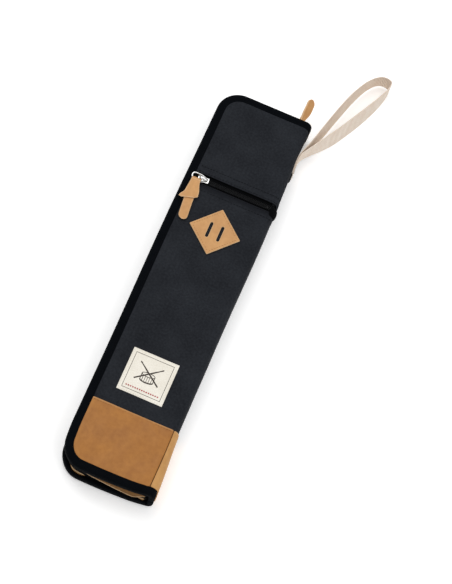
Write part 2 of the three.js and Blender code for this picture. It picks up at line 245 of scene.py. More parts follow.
def ribbed(name, slot, dark, light, rib, depth=0.15, roughness=0.8, **sockets):
    """Tape woven in fine ribs, with a faint thread count across them."""
    m = Material(name, slot, roughness, **sockets)
    u, v = m.uv()
    ribs = m.wave(v, rib)
    threads = m.wave(u, rib * 0.6)
    height = m.math("ADD", m.math("MULTIPLY", ribs, 0.5), m.math("MULTIPLY", threads, 0.2))
    shade = m.math("MULTIPLY", m.math("ADD", height, m.cloud(14, 3.0)), 0.7)
    return m.finish(m.blend_colour(m.spread(shade, 0.1, 0.9), dark, light), height, depth)


def leather(name, slot, dark, light, pale, **sockets):
    """Waxed pull-up leather: cloudy tone, fine grain, a few scuffs, and paler where its mask is set: worn
    edges, and a painted highlight along the top edge.
    """
    roughness = 0.62
    m = Material(name, slot, roughness, **sockets)
    clouds = m.cloud(26, 5.0)
    grain = m.add("TexVoronoi", {"Vector": m.place(), "Scale": 1 / (0.9 * MM)}, feature="F1").outputs[0]
    fine = m.cloud(0.7, 3.0)
    streak_place = m.add("Mapping", {0: m.place(), 3: (1.0, 0.35, 1.0)}).outputs[0]
    streaks = m.cloud(9, 3.0, streak_place)
    mottle = m.math("ADD", m.math("MULTIPLY", m.cloud(5, 5.0), 0.4), m.math("MULTIPLY", streaks, 0.35))
    tone = m.math("ADD", m.math("MULTIPLY", clouds, 0.35), mottle)
    colour = m.blend_colour(m.spread(tone, 0.3, 0.8), dark, light)
    # The mask pales worn edges, and also paints a highlight along the top edge.
    wear_and_painted_light = m.add("Attribute", attribute_name="wear_and_painted_light").outputs["Fac"]
    colour = m.blend_colour(m.math("MULTIPLY", wear_and_painted_light, m.spread(fine, 0.2, 0.6, 0.2, 0.55)), colour, pale)
    height = m.math("ADD", m.math("MULTIPLY", grain, 0.4), fine)
    rough = m.spread(clouds, 0.3, 0.7, roughness - 0.08, roughness + 0.1)
    return m.finish(colour, height, 0.09, rough)


def metal(name, slot):
    """Bright nickel plate with faint polishing marks."""
    m = Material(name, slot, 0.18, Metallic=1.0)
    marks = m.cloud(1.2, 4.0)
    colour = m.blend_colour(marks, srgb(205, 205, 203), srgb(236, 236, 234))
    return m.finish(colour, m.cloud(0.35, 2.0), 0.01, m.spread(marks, 0.3, 0.7, 0.12, 0.26))


def nylon(name, slot, dark, light):
    """Moulded coil: smooth and slightly shiny."""
    m = Material(name, slot, 0.42, Specular_IOR_Level=0.22)
    tone = m.cloud(2.5, 2.0)
    return m.finish(m.blend_colour(tone, dark, light), m.cloud(0.2, 2.0), 0.01)


def foam(name, slot, dark, light):
    """Closed-cell foam: small cells, open where the board was cut."""
    m = Material(name, slot, 0.95, solid=True)
    cells = m.add("TexVoronoi", {"Vector": m.place(), "Scale": 1 / (0.8 * MM)}, feature="F1").outputs[0]
    tone = m.math("ADD", m.math("MULTIPLY", cells, 0.5), m.math("MULTIPLY", m.cloud(9, 3.0), 0.6))
    return m.finish(m.blend_colour(tone, dark, light), cells, 0.25)


def cotton_thread(name, slot, dark, light):
    """Twisted sewing thread."""
    m = Material(name, slot, 0.8, Specular_IOR_Level=0.06)
    u, v = m.uv()
    twist = m.wave(m.math("ADD", u, v), 0.5)
    shade = m.math("MULTIPLY_ADD", twist, 0.4)
    shade = m.math("ADD", shade, 0.5)
    return m.finish(m.blend_colour(shade, dark, light), twist, 0.05)


FABRIC = woven("woven_polyester", "black_woven_fabric", srgb(21, 23, 28), srgb(42, 45, 50), 0.95,
               Specular_IOR_Level=0.13)
BAND = ribbed("binding_tape", "black_binding_tape", srgb(3, 5, 8), srgb(11, 14, 19), 0.8,
              Specular_IOR_Level=0.04)
LINING = woven("lining_nylon", "dark_lining", srgb(24, 26, 29), srgb(46, 48, 53), 0.6, 0.05, 0.6)
LEATHER = leather("tan_leather", "tan_leather", srgb(145, 92, 42), srgb(179, 122, 60), srgb(205, 160, 112),
                  Specular_IOR_Level=0.3)
# A lighter copy of the tan leather for the fold strips: painted light, where the fold turns to the lamps.
LIT_FOLD_LEATHER = leather("lit_fold_leather", "tan_leather", srgb(172, 122, 68), srgb(206, 158, 98),
                       srgb(222, 182, 136), Specular_IOR_Level=0.28)
PALE = leather("pale_tan_leather", "pale_tan_leather", srgb(178, 127, 74), srgb(208, 158, 102),
               srgb(232, 200, 160))
# A darker copy of the tan leather for the rim gussets: painted shade, as the band above shades them.
SHADED_GUSSET_LEATHER = leather("gusset_leather", "tan_leather", srgb(92, 62, 26), srgb(126, 88, 42),
                         srgb(190, 150, 104), Specular_IOR_Level=0.08)
RAW_EDGE = leather("raw_leather_edge", "pale_tan_leather", srgb(196, 160, 118), srgb(226, 194, 152),
                   srgb(232, 204, 166))
WEBBING = ribbed("cotton_webbing", "cream_webbing", srgb(229, 207, 186), srgb(255, 248, 238), 1.9,
                 depth=0.5, roughness=0.9)
ZIP_TAPE = ribbed("zip_tape", "black_zip_tape", srgb(3, 4, 5), srgb(9, 10, 12), 0.7,
                  Specular_IOR_Level=0.05)
COIL = nylon("nylon_coil", "black_coil", srgb(4, 5, 7), srgb(14, 15, 18))
LABEL = woven("label_cloth", "cream_label_cloth", srgb(226, 219, 204), srgb(250, 246, 236), 0.55, 0.06)
NICKEL = metal("bright_nickel", "bright_nickel")
FOAM = foam("foam_board", "foam", srgb(48, 48, 50), srgb(74, 74, 76))
POCKET_WALL = woven("pocket_wall_nylon", "dark_lining", srgb(24, 26, 29), srgb(46, 48, 53), 0.6, 0.05, 0.6,
                    solid=True)
BLACK_THREAD = cotton_thread("black_thread", "black_binding_tape", srgb(5, 6, 8), srgb(15, 17, 20))
TAN_THREAD = cotton_thread("tan_thread", "tan_leather", srgb(92, 58, 28), srgb(150, 104, 58))
CREAM_THREAD = cotton_thread("cream_thread", "cream_label_cloth", srgb(206, 196, 178), srgb(240, 234, 220))
INK = woven("dark_print", "cream_label_cloth", srgb(44, 36, 30), srgb(72, 62, 52), 0.55, 0.03)
RED_INK = woven("red_print", "cream_label_cloth", srgb(164, 60, 62), srgb(200, 104, 102), 0.55, 0.03)


# ---- mesh helpers

def between(a, b, count, margin=0.0):
    """Points at even steps from a to b, with both ends in by a margin, which is a part of the way."""
    a, b = np.array(a, float), np.array(b, float)
    return np.array([a + (b - a) * t for t in np.linspace(margin, 1 - margin, count)])


def steady(direction, line):
    """The same direction for each point of a line."""
    return np.tile(np.array(direction, float), (len(line), 1))


def seam(a, b, count, up, margin=0.0):
    """A straight row of stitches from a to b, with one direction up."""
    line = between(a, b, count, margin)
    return line, steady(up, line)


def sides(corners):
    """Each side of a closed outline, as its two ends."""
    return list(zip(corners, corners[1:] + corners[:1]))


def square(half, first):
    """The corners of a square. half is its reach along each axis, and first is its first corner's angle."""
    reach = half / max(abs(math.cos(first)), abs(math.sin(first)))
    angles = [first + math.pi / 2 * k for k in range(4)]
    return [(reach * math.cos(a), reach * math.sin(a)) for a in angles]


def mesh_piece(name, points, faces, materials, uv=None, wear_and_painted_light=None, outward=True):
    """A piece from points in millimetres. uv is metres for each point, and the mask for worn edges and
    painted light is 0 to 1.
    """
    mesh = bpy.data.meshes.new(name)
    mesh.from_pydata([tuple(p) for p in settled(points) * MM], [], [tuple(f) for f in faces])
    materials = materials if isinstance(materials, list) else [materials]
    for m in materials:
        mesh.materials.append(m.data)
    layer = mesh.uv_layers.new(name="surface")
    if uv is None:
        uv = np.array(points, float)[:, :2] * MM
    loops = np.zeros(len(mesh.loops), np.int32)
    mesh.loops.foreach_get("vertex_index", loops)
    layer.data.foreach_set("uv", np.array(uv, np.float32)[loops].ravel())
    if wear_and_painted_light is not None:
        mesh.attributes.new("wear_and_painted_light", "FLOAT", "POINT").data.foreach_set("value", np.array(wear_and_painted_light, np.float32))
    mesh.polygons.foreach_set("use_smooth", np.ones(len(mesh.polygons), bool))
    if outward:
        shape = bmesh.new()
        shape.from_mesh(mesh)
        bmesh.ops.recalc_face_normals(shape, faces=shape.faces)
        shape.to_mesh(mesh)
        shape.free()
    mesh.validate()
    mesh.update()
    obj = bpy.data.objects.new(name, mesh)
    bpy.context.scene.collection.objects.link(obj)
    return obj


def grid_faces(rows, columns, close_rows=False, close_columns=False):
    """Quads over a grid of points that is stored row by row."""
    faces = []
    for r in range(rows if close_rows else rows - 1):
        for c in range(columns if close_columns else columns - 1):
            a, b = r * columns + c, r * columns + (c + 1) % columns
            d, e = ((r + 1) % rows) * columns + c, ((r + 1) % rows) * columns + (c + 1) % columns
            faces.append((a, b, e, d))
    return faces


def lengths(points):
    """Distance along a line of points, starting at 0."""
    steps = np.linalg.norm(np.diff(points, axis=0), axis=1)
    return np.concatenate([[0.0], np.cumsum(steps)])


def modifier(obj, kind, **settings):
    made = obj.modifiers.new(kind.lower(), kind)
    for key, value in settings.items():
        setattr(made, key, value)
    return made


def smooth(obj, levels=1):
    modifier(obj, "SUBSURF", levels=levels, render_levels=levels)
    return obj


def facing(obj, axis):
    """Turns a sheet's faces over, unless its first face looks along an axis."""
    if obj.data.polygons[0].normal[axis] < 0:
        obj.data.flip_normals()
    return obj


def thicken(obj, thickness, rim=None):
    settings = {"thickness": thickness * MM, "offset": -1.0, "use_even_offset": True}
    if rim is not None:
        settings["material_offset_rim"] = rim
    modifier(obj, "SOLIDIFY", **settings)
    return obj


def cloth_piece(name, points, material, thickness, uv=None, levels=1, **settings):
    """A sheet from a grid of points, with its thickness shared between both sides."""
    points = np.array(points, float)
    faces = grid_faces(*points.shape[:2])
    obj = mesh_piece(name, points.reshape(-1, 3), faces, material, uv, outward=False)
    modifier(obj, "SOLIDIFY", thickness=thickness * MM, offset=0.0, **settings)
    return smooth(obj, levels)


def sweep(name, frames, profile, materials, closed=False, subdivide=1):
    """A closed profile of (out, up) points carried along frames of (point, out, up) arrays."""
    at, out, up = frames
    rings = []
    for i in range(len(at)):
        section = profile(i) if callable(profile) else profile
        rings.append([at[i] + out[i] * a + up[i] * b for a, b in section])
    rings = np.array(rings)
    rows, columns = rings.shape[:2]
    faces = grid_faces(rows, columns, closed, True)
    if not closed:
        faces.append(tuple(range(columns)))
        faces.append(tuple((rows - 1) * columns + c for c in range(columns)))
    around = lengths(rings[0])
    along = lengths(rings.mean(axis=1))
    uv = [(a * MM, b * MM) for a in along for b in around]
    obj = mesh_piece(name, rings.reshape(-1, 3), faces, materials, uv)
    return smooth(obj, subdivide) if subdivide else obj


def tube_frames(points, closed=False):
    """Frames along a line of points, turning as little as possible."""
    points = np.array(points, float)
    if closed:
        tangents = np.roll(points, -1, 0) - np.roll(points, 1, 0)
    else:
        tangents = np.gradient(points, axis=0)
    tangents = unit(tangents)
    side = np.cross(tangents[0], (0, 0, 1) if abs(tangents[0][2]) < 0.9 else (1, 0, 0))
    outs = []
    for t in tangents:
        side = unit(side - t * side.dot(t))
        outs.append(side)
    outs = np.array(outs)
    return points, outs, np.cross(tangents, outs)


def circle(radius, count=8):
    angles = [2 * math.pi * i / count for i in range(count)]
    return [(radius * math.cos(a), radius * math.sin(a)) for a in angles]


def resample(points, pitch):
    """Points at an even pitch along a line, with the tangents there."""
    points = np.array(points, float)
    along = lengths(points)
    count = max(2, int(along[-1] / pitch))
    where = np.linspace(pitch / 2, along[-1] - pitch / 2, count)
    at = np.stack([np.interp(where, along, points[:, k]) for k in range(3)], 1)
    ahead = np.stack([np.interp(where + 0.1, along, points[:, k]) for k in range(3)], 1)
    behind = np.stack([np.interp(where - 0.1, along, points[:, k]) for k in range(3)], 1)
    return at, unit(ahead - behind), where


def stitches(name, lines, material=BLACK_THREAD, pitch=3.3, length=2.5, radius=0.2):
    """Rows of small sunken thread stitches. Each line is (points, up direction of each point)."""
    stations = [(-0.5, 0.25), (-0.34, 0.85), (0.0, 1.0), (0.34, 0.85), (0.5, 0.25)]
    count = 6
    points, faces, uv = [], [], []
    for line, up in lines:
        at, along, where = resample(line, pitch)
        source = lengths(np.array(line, float))
        ups = unit(np.stack([np.interp(where, source, np.array(up, float)[:, k]) for k in range(3)], 1))
        for p, t, n in zip(at, along, ups):
            n = unit(n - t * n.dot(t))
            b = np.cross(t, n)
            base = len(points)
            for place, size in stations:
                for k in range(count):
                    angle = 2 * math.pi * k / count
                    around = b * math.cos(angle) + n * math.sin(angle)
                    sink = n * radius * (size - 1) * 0.8
                    points.append(p + t * place * length + around * radius * size + sink)
                    uv.append((place * length * MM, k * radius * MM))
            faces += [tuple(base + i for i in f) for f in grid_faces(len(stations), count, False, True)]
            faces.append(tuple(base + i for i in range(count)))
            faces.append(tuple(base + (len(stations) - 1) * count + i for i in range(count)))
    return mesh_piece(name, points, faces, material, uv)


def coil(name, frames, centre, half_width, half_depth, pitch, wire, phase):
    """A zip's nylon coil: one flattened helix along frames. centre and the halves are (out, up) distances."""
    at, out, up = frames
    line = at + out * centre[0] + up * centre[1]
    source = lengths(line)
    steps_per_turn = 10
    count = int(source[-1] / pitch) * steps_per_turn
    where = np.linspace(0, source[-1], count)

    def pick(values):
        return np.stack([np.interp(where, source, values[:, k]) for k in range(3)], 1)

    turn = where / pitch * 2 * math.pi + phase
    boxy = 0.72
    a = np.sign(np.cos(turn)) * np.abs(np.cos(turn)) ** boxy * half_depth
    b = np.sign(np.sin(turn)) * np.abs(np.sin(turn)) ** boxy * half_width
    path = pick(line) + pick(out) * a[:, None] + pick(up) * b[:, None]
    return sweep(name, tube_frames(path), circle(wire, 5), COIL, subdivide=0)


# ---- camera, floor and light

def photo_camera():
    """The camera at the photograph's angle."""
    azimuth, elevation, roll = math.radians(3.239), math.radians(63.193), math.radians(20.072)
    back = Vector((math.sin(azimuth) * math.cos(elevation), -math.cos(azimuth) * math.cos(elevation),
                   math.sin(elevation)))
    right = Vector((math.cos(azimuth), math.sin(azimuth), 0))
    up = back.cross(right)
    x_axis = right * math.cos(roll) + up * math.sin(roll)
    y_axis = up * math.cos(roll) - right * math.sin(roll)
    distance, shift_right, shift_up = 2.3737, 0.04343, 0.00488
    place = back * distance + x_axis * shift_right + y_axis * shift_up
    camera = bpy.data.objects.new("camera", bpy.data.cameras.new("camera"))
    camera.data.lens = 135.6
    camera.data.sensor_width = 36
    camera.data.clip_start = 0.05
    camera.matrix_world = Matrix.Translation(place) @ Matrix((x_axis, y_axis, back)).transposed().to_4x4()
    bpy.context.scene.collection.objects.link(camera)
    bpy.context.scene.camera = camera


def pale_floor():
    """A floor a millimetre under the bag, which glows faintly."""
    floor = Material("studio_floor", "studio", 0.95)
    colour = floor.blend_colour(floor.cloud(900, 1.0), (0.9, 0.9, 0.9, 1), (0.93, 0.93, 0.93, 1))
    floor.finish(colour)
    floor.shader.inputs["Emission Color"].default_value = (1, 1, 1, 1)
    floor.shader.inputs["Emission Strength"].default_value = 0.3
    mesh = bpy.data.meshes.new("floor")
    corners = [(x, y, -0.001) for x, y in square(6.0, math.pi * 1.25)]
    mesh.from_pydata(corners, [], [(0, 1, 2, 3)])
    mesh.uv_layers.new(name="surface")
    mesh.materials.append(floor.data)
    stage = bpy.data.objects.new("floor", mesh)
    bpy.context.scene.collection.objects.link(stage)


def soft_light():
    """A white world, and three broad lamps from above."""
    world = bpy.data.worlds.new("studio")
    world.use_nodes = True
    world.node_tree.nodes["Background"].inputs[0].default_value = (1, 1, 1, 1)
    world.node_tree.nodes["Background"].inputs[1].default_value = 0.46
    bpy.context.scene.world = world
    bpy.context.scene.view_settings.view_transform = "Standard"
    lights = [("key", (-0.9, 0.9, 1.7), 1.6, 18.0),
              ("fill", (1.3, -0.5, 1.5), 1.8, 11.0),
              ("top", (0.1, 0.1, 2.4), 2.2, 12.0)]
    for name, place, size, power in lights:
        light = bpy.data.objects.new(name, bpy.data.lights.new(name, "AREA"))
        light.data.size = size
        light.data.energy = power
        light.location = place
        light.rotation_euler = (-Vector(place)).to_track_quat("-Z", "Y").to_euler()
        bpy.context.scene.collection.objects.link(light)


# ---- paths round the bag

def rim_frames(front, step, spine_z=None, start_x=FOLD_X):
    """Frames (point, out, up) round the free edges at the face's level, from the spine end of the strap
    end to the spine end of the base. With spine_z they start down the spine and come up round the fold."""
    rows = []
    if spine_z is not None:
        for z in spaced(spine_z, HEIGHT - FOLD_RADIUS, step):
            rows.append((HALF_WIDTH, HALF_LENGTH, z, 0, 1, 1, 0))
        for a in spaced(math.pi / 2, 0, step / 2.5 / FOLD_RADIUS):
            rows.append((FOLD_X + FOLD_RADIUS * math.sin(a), HALF_LENGTH,
                         HEIGHT - FOLD_RADIUS + FOLD_RADIUS * math.cos(a), 0, 1, math.sin(a), math.cos(a)))
    corner_x, corner_y = CORNER_RADIUS - HALF_WIDTH, HALF_LENGTH - CORNER_RADIUS
    for x in spaced(start_x, corner_x, step):
        rows.append((x, HALF_LENGTH, HEIGHT, 0, 1, 0, 1))
    for a in spaced(math.pi / 2, math.pi, step / 2 / CORNER_RADIUS):
        c, s = math.cos(a), math.sin(a)
        rows.append((corner_x + CORNER_RADIUS * c, corner_y + CORNER_RADIUS * s, HEIGHT, c, s, 0, 1))
    for y in spaced(corner_y, 0, step):
        rows.append((-HALF_WIDTH, y, HEIGHT, -1, 0, 0, 1))
    other = [(x, -y, z, ox, -oy, ux, uz) for x, y, z, ox, oy, ux, uz in reversed(rows)]
    rows = np.array(rows + [(-HALF_WIDTH, 0, HEIGHT, -1, 0, 0, 1)] + other, float)
    at = rows[:, 0:3]
    out = np.stack([rows[:, 3], rows[:, 4], np.zeros(len(rows))], 1)
    up = np.stack([rows[:, 5], np.zeros(len(rows)), rows[:, 6]], 1)
    if front:
        return at, out, up
    return to_back(at), out, up * (1, 1, -1)


def wrap(s):
    """The outer point (x, z) and its normal at s, across the front, round the fold and down the spine."""
    if s < FOLD_X:
        return (s, HEIGHT), (0, 1)
    if s < FOLD_X + FOLD_ARC:
        a = (s - FOLD_X) / FOLD_RADIUS
        return (FOLD_X + FOLD_RADIUS * math.sin(a), HEIGHT - FOLD_RADIUS * (1 - math.cos(a))), \
            (math.sin(a), math.cos(a))
    return (HALF_WIDTH, HEIGHT - FOLD_RADIUS - (s - FOLD_X - FOLD_ARC)), (1, 0)


def edge_inset(x, y):
    """How far a point of the face lies inside the bag's free edges."""
    corner_x, corner_y = CORNER_RADIUS - HALF_WIDTH, HALF_LENGTH - CORNER_RADIUS
    if x < corner_x and abs(y) > corner_y:
        return CORNER_RADIUS - math.hypot(corner_x - x, abs(y) - corner_y)
    return min(x + HALF_WIDTH, HALF_LENGTH - abs(y))


def left_edge(y, inset):
    """The x of the free edge's line at an inset, for a row at y."""
    corner_y = HALF_LENGTH - CORNER_RADIUS
    if abs(y) <= corner_y:
        return inset - HALF_WIDTH
    reach = (CORNER_RADIUS - inset) ** 2 - (abs(y) - corner_y) ** 2
    return CORNER_RADIUS - HALF_WIDTH - math.sqrt(max(0.0, reach))


# ---- soft panels

def front_row(places, height):
    """A line through places (s, y) of the front at height(s, y) above it, and the direction up at each."""
    line, ups = [], []
    for s, y in places:
        (x, z), (nx, nz) = wrap(s)
        lift = height(s, y)
        line.append((x + nx * lift, y, z + nz * lift))
        ups.append((nx, 0, nz))
    return line, ups


def slack(points, rows, columns, pinned):
    """The points of a sheet after a cloth simulation, blown up a little by the foam under it."""
    mesh = bpy.data.meshes.new("cloth")
    mesh.from_pydata([tuple(p) for p in points * MM], [], grid_faces(rows, columns))
    obj = bpy.data.objects.new("cloth", mesh)
    bpy.context.scene.collection.objects.link(obj)
    obj.vertex_groups.new(name="pin").add([int(i) for i in np.flatnonzero(pinned)], 1.0, "REPLACE")
    cloth = modifier(obj, "CLOTH")
    for key, value in {"quality": 6, "mass": 0.2, "tension_stiffness": 20, "compression_stiffness": 20,
                       "bending_stiffness": 0.8, "vertex_group_mass": "pin", "use_pressure": True,
                       "uniform_pressure_force": CLOTH_PRESSURE, "shrink_min": -0.012}.items():
        setattr(cloth.settings, key, value)
    cloth.settings.effector_weights.gravity = 0
    cloth.point_cache.frame_end = CLOTH_FRAMES
    scene = bpy.context.scene
    for number in range(1, CLOTH_FRAMES + 1):
        scene.frame_set(number)
    result = obj.evaluated_get(bpy.context.evaluated_depsgraph_get()).data
    moved = np.zeros(len(points) * 3)
    result.vertices.foreach_get("co", moved)
    scene.frame_set(1)
    bpy.data.objects.remove(obj)
    return moved.reshape(-1, 3) / MM


def panel(name, material, y_low, y_high, s_low, s_high, rise, step=3.2, front=True, cap=1.6,
          thickness=SHELL, wear_and_painted_light=None, sim=True, offset=0.0):
    """A sheet of the cover's outer skin over its foam. y_low and y_high may depend on s, and s_low and
    s_high on y. rise(s, y) is how far its seams and hems stand out, on top of the cloth simulation."""
    def value(limit, x):
        return limit(x) if callable(limit) else limit

    tall = value(y_high, 0) - value(y_low, 0)
    wide = value(s_high, 0) - value(s_low, 0)
    rows, columns = max(4, round(tall / step)), max(4, round(wide / step))
    flat, normals, where = [], [], []
    for r in range(rows + 1):
        for c in range(columns + 1):
            y = value(y_low, 0) + tall * r / rows
            start = value(s_low, y)
            s = start + (value(s_high, y) - start) * c / columns
            low, high = value(y_low, s), value(y_high, s)
            y = low + (high - low) * r / rows
            (x, z), (nx, nz) = wrap(s)
            flat.append((x, y, z))
            normals.append((nx, 0, nz))
            where.append((s, y))
    flat, normals, where = np.array(flat), np.array(normals, float), np.array(where)
    row, column = np.divmod(np.arange(len(flat)), columns + 1)
    pinned = (row == 0) | (row == rows) | (column == 0) | (where[:, 0] > FOLD_X - 3) | (column == columns)
    lift = np.zeros(len(flat))
    if sim:
        moved = slack(flat, rows + 1, columns + 1, pinned)
        raw = ((moved - flat) * normals).sum(1)
        free = np.array([1 - held_down(s, y) for s, y in where])
        lift = cap * free * np.tanh(np.maximum(raw, 0) / cap)
    heights = np.array([rise(s, y) for s, y in where])
    points = flat + normals * (lift + heights + offset)[:, None]
    if not front:
        points = to_back(points)
    obj = mesh_piece(name, points, grid_faces(rows + 1, columns + 1), material, where * MM, wear_and_painted_light and
                     [wear_and_painted_light(s, y) for s, y in where], outward=False)
    if not front:
        obj.data.flip_normals()
    thicken(obj, thickness)
    return smooth(obj)


def skin(s, y):
    """The gentle unevenness of fabric over foam."""
    return 0.45 * ripple(s, y, 0, 55, 3.0) + 0.15 * ripple(s, y, 0, 17, 8.0)


def beside_band(s, y):
    """The seam allowance that shows as a low ridge just inside the band."""
    inset = edge_inset(min(s, FOLD_X), y)
    return 0.45 * pulse(inset, BAND_WIDTH + 1.4, BAND_WIDTH + 4.6, 0.8) - 0.25 * pulse(inset, 8, 10.2, 0.6)


def hem(distance):
    """A turned hem at a panel's edge beside the zip, drawn in at each row of stitches."""
    drawn = sum(0.35 * pulse(distance, row - 0.2, row + 0.2, 1.3) for row in HEM_ROWS)
    return 0.6 * pulse(distance, -1, 10.4, 0.9) - drawn


def zip_gap(s, side):
    """From the pocket zip's middle to the hem above (side 1) or below (side -1). It closes round the fold."""
    wide = 6.4 if side > 0 else 4.2
    return 0.4 + wide * (1 - smoothstep(s, FOLD_X + 6, FOLD_X + FOLD_ARC + 2))


def fabric_rise(s, y):
    """How far the front's fabric stands out: its unevenness, the band's seam and the hems beside the zip."""
    side = 1 if y > POCKET_ZIP_Y else -1
    free = smoothstep(edge_inset(min(s, FOLD_X), y), BAND_WIDTH - 1, BAND_WIDTH + 3)
    return skin(s, y) + beside_band(s, y) + free * hem(side * (y - POCKET_ZIP_Y) - zip_gap(s, side))


def held_down(s, y):
    """1 where the band, label, patch or a hem's stitches hold the fabric down, fading to 0 beside them."""
    from_label = max(abs(s - LABEL_MIDDLE[0]), abs(y - LABEL_MIDDLE[1])) - LABEL_HALF
    from_patch = abs(s - PATCH_MIDDLE[0]) + abs(y - PATCH_MIDDLE[1]) - PATCH_HALF
    side = 1 if y > POCKET_ZIP_Y else -1
    from_hem = side * (y - POCKET_ZIP_Y) - zip_gap(s, side) - HEM_ROWS[-1]
    from_band = edge_inset(min(s, FOLD_X), y) - BAND_WIDTH
    return 1 - smoothstep(min(from_label, from_patch * 0.7, from_hem, from_band), 1.5, 14)


def across_front(obj):
    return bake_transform(obj)


def across_back(obj):
    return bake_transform(obj)


def under_band(s, y):
    """How far the leather dips to pass under the band."""
    return -1.2 * (1 - smoothstep(edge_inset(min(s, FOLD_X), y), 7.9, 9.5))


def worn_and_highlit_top(s, y):
    """1 at the leather's top edge, fading to 0 over a millimetre: a worn edge, and a painted highlight where
    the folded edge catches the light.
    """
    return 1 - smoothstep(LEATHER_TOP - y, 0.1, 1.1)


def tuck(y):
    return left_edge(y, TUCK)


def leather_seam(y):
    """The seam between the leather's face and its fold, which leans towards the face at the base."""
    return 44.0 + 3.2 * smoothstep(y, -HALF_LENGTH, LEATHER_TOP)


def beyond_seam(y):
    return leather_seam(y) + 0.12


def fabric_panels():
    """The upper panel and the pocket's panel, which part at the zip."""
    def beside_leather(s, y):
        return fabric_rise(s, y) - 0.5 * (1 - smoothstep(y, LEATHER_TOP, LEATHER_TOP + 3))

    upper = panel("front_upper_fabric", FABRIC, lambda s: POCKET_ZIP_Y + zip_gap(s, 1), HALF_LENGTH - TUCK,
                  tuck, MID_S, fabric_rise, step=2.2)
    # Painted shade: the pocket's fabric is darkened over the last few millimetres below the zip, where it
    # dips away from the light.
    pocket = panel("pocket_front_fabric", FABRIC, LEATHER_TOP - 8, lambda s: POCKET_ZIP_Y - zip_gap(s, -1),
                   tuck, MID_S, beside_leather,
                   wear_and_painted_light=lambda s, y: 1 - smoothstep(POCKET_ZIP_Y - zip_gap(s, -1) - y, 2, 9))
    return upper, pocket


def leather_panels():
    """The base's leather over the face, and the strip round the fold in a lighter copy of it, painted light
    where the fold faces the lamps.
    """
    def face_rise(s, y):
        from_seam, from_top = leather_seam(y) - s, LEATHER_TOP - y
        seam = 0.25 * pulse(from_seam, 0.8, 3.2, 0.7) - 0.3 * smoothstep(-from_seam, -0.7, -0.1)
        top = -0.25 * pulse(from_top, 2.2, 2.8, 0.5) - 0.2 * pulse(from_top, 4.6, 5.2, 0.6)
        return 0.8 * skin(s, y) + under_band(s, y) + seam + top

    def strip_rise(s, y):
        step_up = 0.35 * smoothstep(s - leather_seam(y), 0, 1.2)
        return step_up + under_band(s, y) + 0.25 * ripple(s, y, 0, 16, 5.0)

    hide = {"offset": 0.9, "thickness": 1.5, "wear_and_painted_light": worn_and_highlit_top}
    face = panel("front_leather_face", LEATHER, TUCK - HALF_LENGTH, LEATHER_TOP, tuck, leather_seam,
                 face_rise, cap=1.3, step=2.6, **hide)
    strip = panel("front_leather_fold", LIT_FOLD_LEATHER, TUCK - HALF_LENGTH, LEATHER_TOP, beyond_seam, MID_S,
                  strip_rise, sim=False, step=2.0, **hide)
    return face, strip


def front_skin():
    upper, pocket = fabric_panels()
    face, strip = leather_panels()
    for obj, nodes in [(upper, ["front_upper_panel"]), (pocket, ["pocket_panel", "spine_shell"]),
                       (face, ["front_leather_base"]), (strip, ["spine_leather_base"])]:
        across_front(obj)
        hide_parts(*nodes)
    places = [(s, LEATHER_TOP - 2.5) for s in spaced(BAND_WIDTH + 1 - HALF_WIDTH, 46, 1.5)]
    rows = [front_row(places, lambda s, y: 1.0)]
    across_front(stitches("leather_top_stitches", rows, TAN_THREAD, 3.0, 2.2, 0.2))


def back_skin():
    def shell_rise(s, y):
        level = 0.5 * max(0.0, skin(s, y)) * smoothstep(s, FOLD_X + 3, FOLD_X + 12)
        return level - 0.4 * (1 - smoothstep(y, LEATHER_TOP, LEATHER_TOP + 3))

    def base_rise(s, y):
        return -0.3 * smoothstep(s - leather_seam(y), -0.7, -0.1)

    def strip_rise(s, y):
        return 0.85 * smoothstep(s, FOLD_X + 4, FOLD_X + FOLD_ARC) * (1 + 0.3 * ripple(s, y, 0, 16, 5.0))

    flat = {"front": False, "sim": False}
    hide = {"offset": 0.4, "thickness": 1.4, "wear_and_painted_light": worn_and_highlit_top, **flat}
    shell = panel("back_fabric", FABRIC, LEATHER_TOP - 8, HALF_LENGTH - TUCK, tuck, MID_S,
                  shell_rise, step=4.0, **flat)
    base = panel("back_leather_face", LEATHER, TUCK - HALF_LENGTH, LEATHER_TOP, tuck, leather_seam,
                 base_rise, **hide)
    strip = panel("back_leather_fold", LIT_FOLD_LEATHER, TUCK - HALF_LENGTH, LEATHER_TOP, beyond_seam, MID_S,
                  strip_rise, step=2.0, **hide)
    for obj in (shell, base, strip):
        across_back(obj)
    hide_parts("back_shell")
    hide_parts("back_leather_base")


# ---- bound edges

# The binding's section, from where it lies on the face, over the edge and back under: (out, up)
BAND_SECTION = [(-9.6, -0.9), (-9.55, 0.1), (-9.0, 0.62), (-8.2, 0.55), (-7.5, 0.18), (-6.7, 0.5),
                (-4.4, 0.78), (-2.2, 0.62), (-0.7, -0.1), (0.0, -1.8), (0.15, -4.2), (0.0, -6.6),
                (-0.8, -8.1), (-2.2, -8.5), (-3.9, -8.2), (-5.4, -7.4), (-5.6, -5.0)]


def band_section(frames, rise):
    """The section at each frame. It thins at the fold and the spine, where the wall is thinner."""
    at, _, up = frames

    def section(i):
        thin = 1 - 0.3 * abs(up[i][0])
        sway = 0.14 * ripple(at[i][0], at[i][1], at[i][2], 21, 2.0)
        return [(a, b * thin if b < -1 else b * rise + sway * (b > 0)) for a, b in BAND_SECTION]
    return section


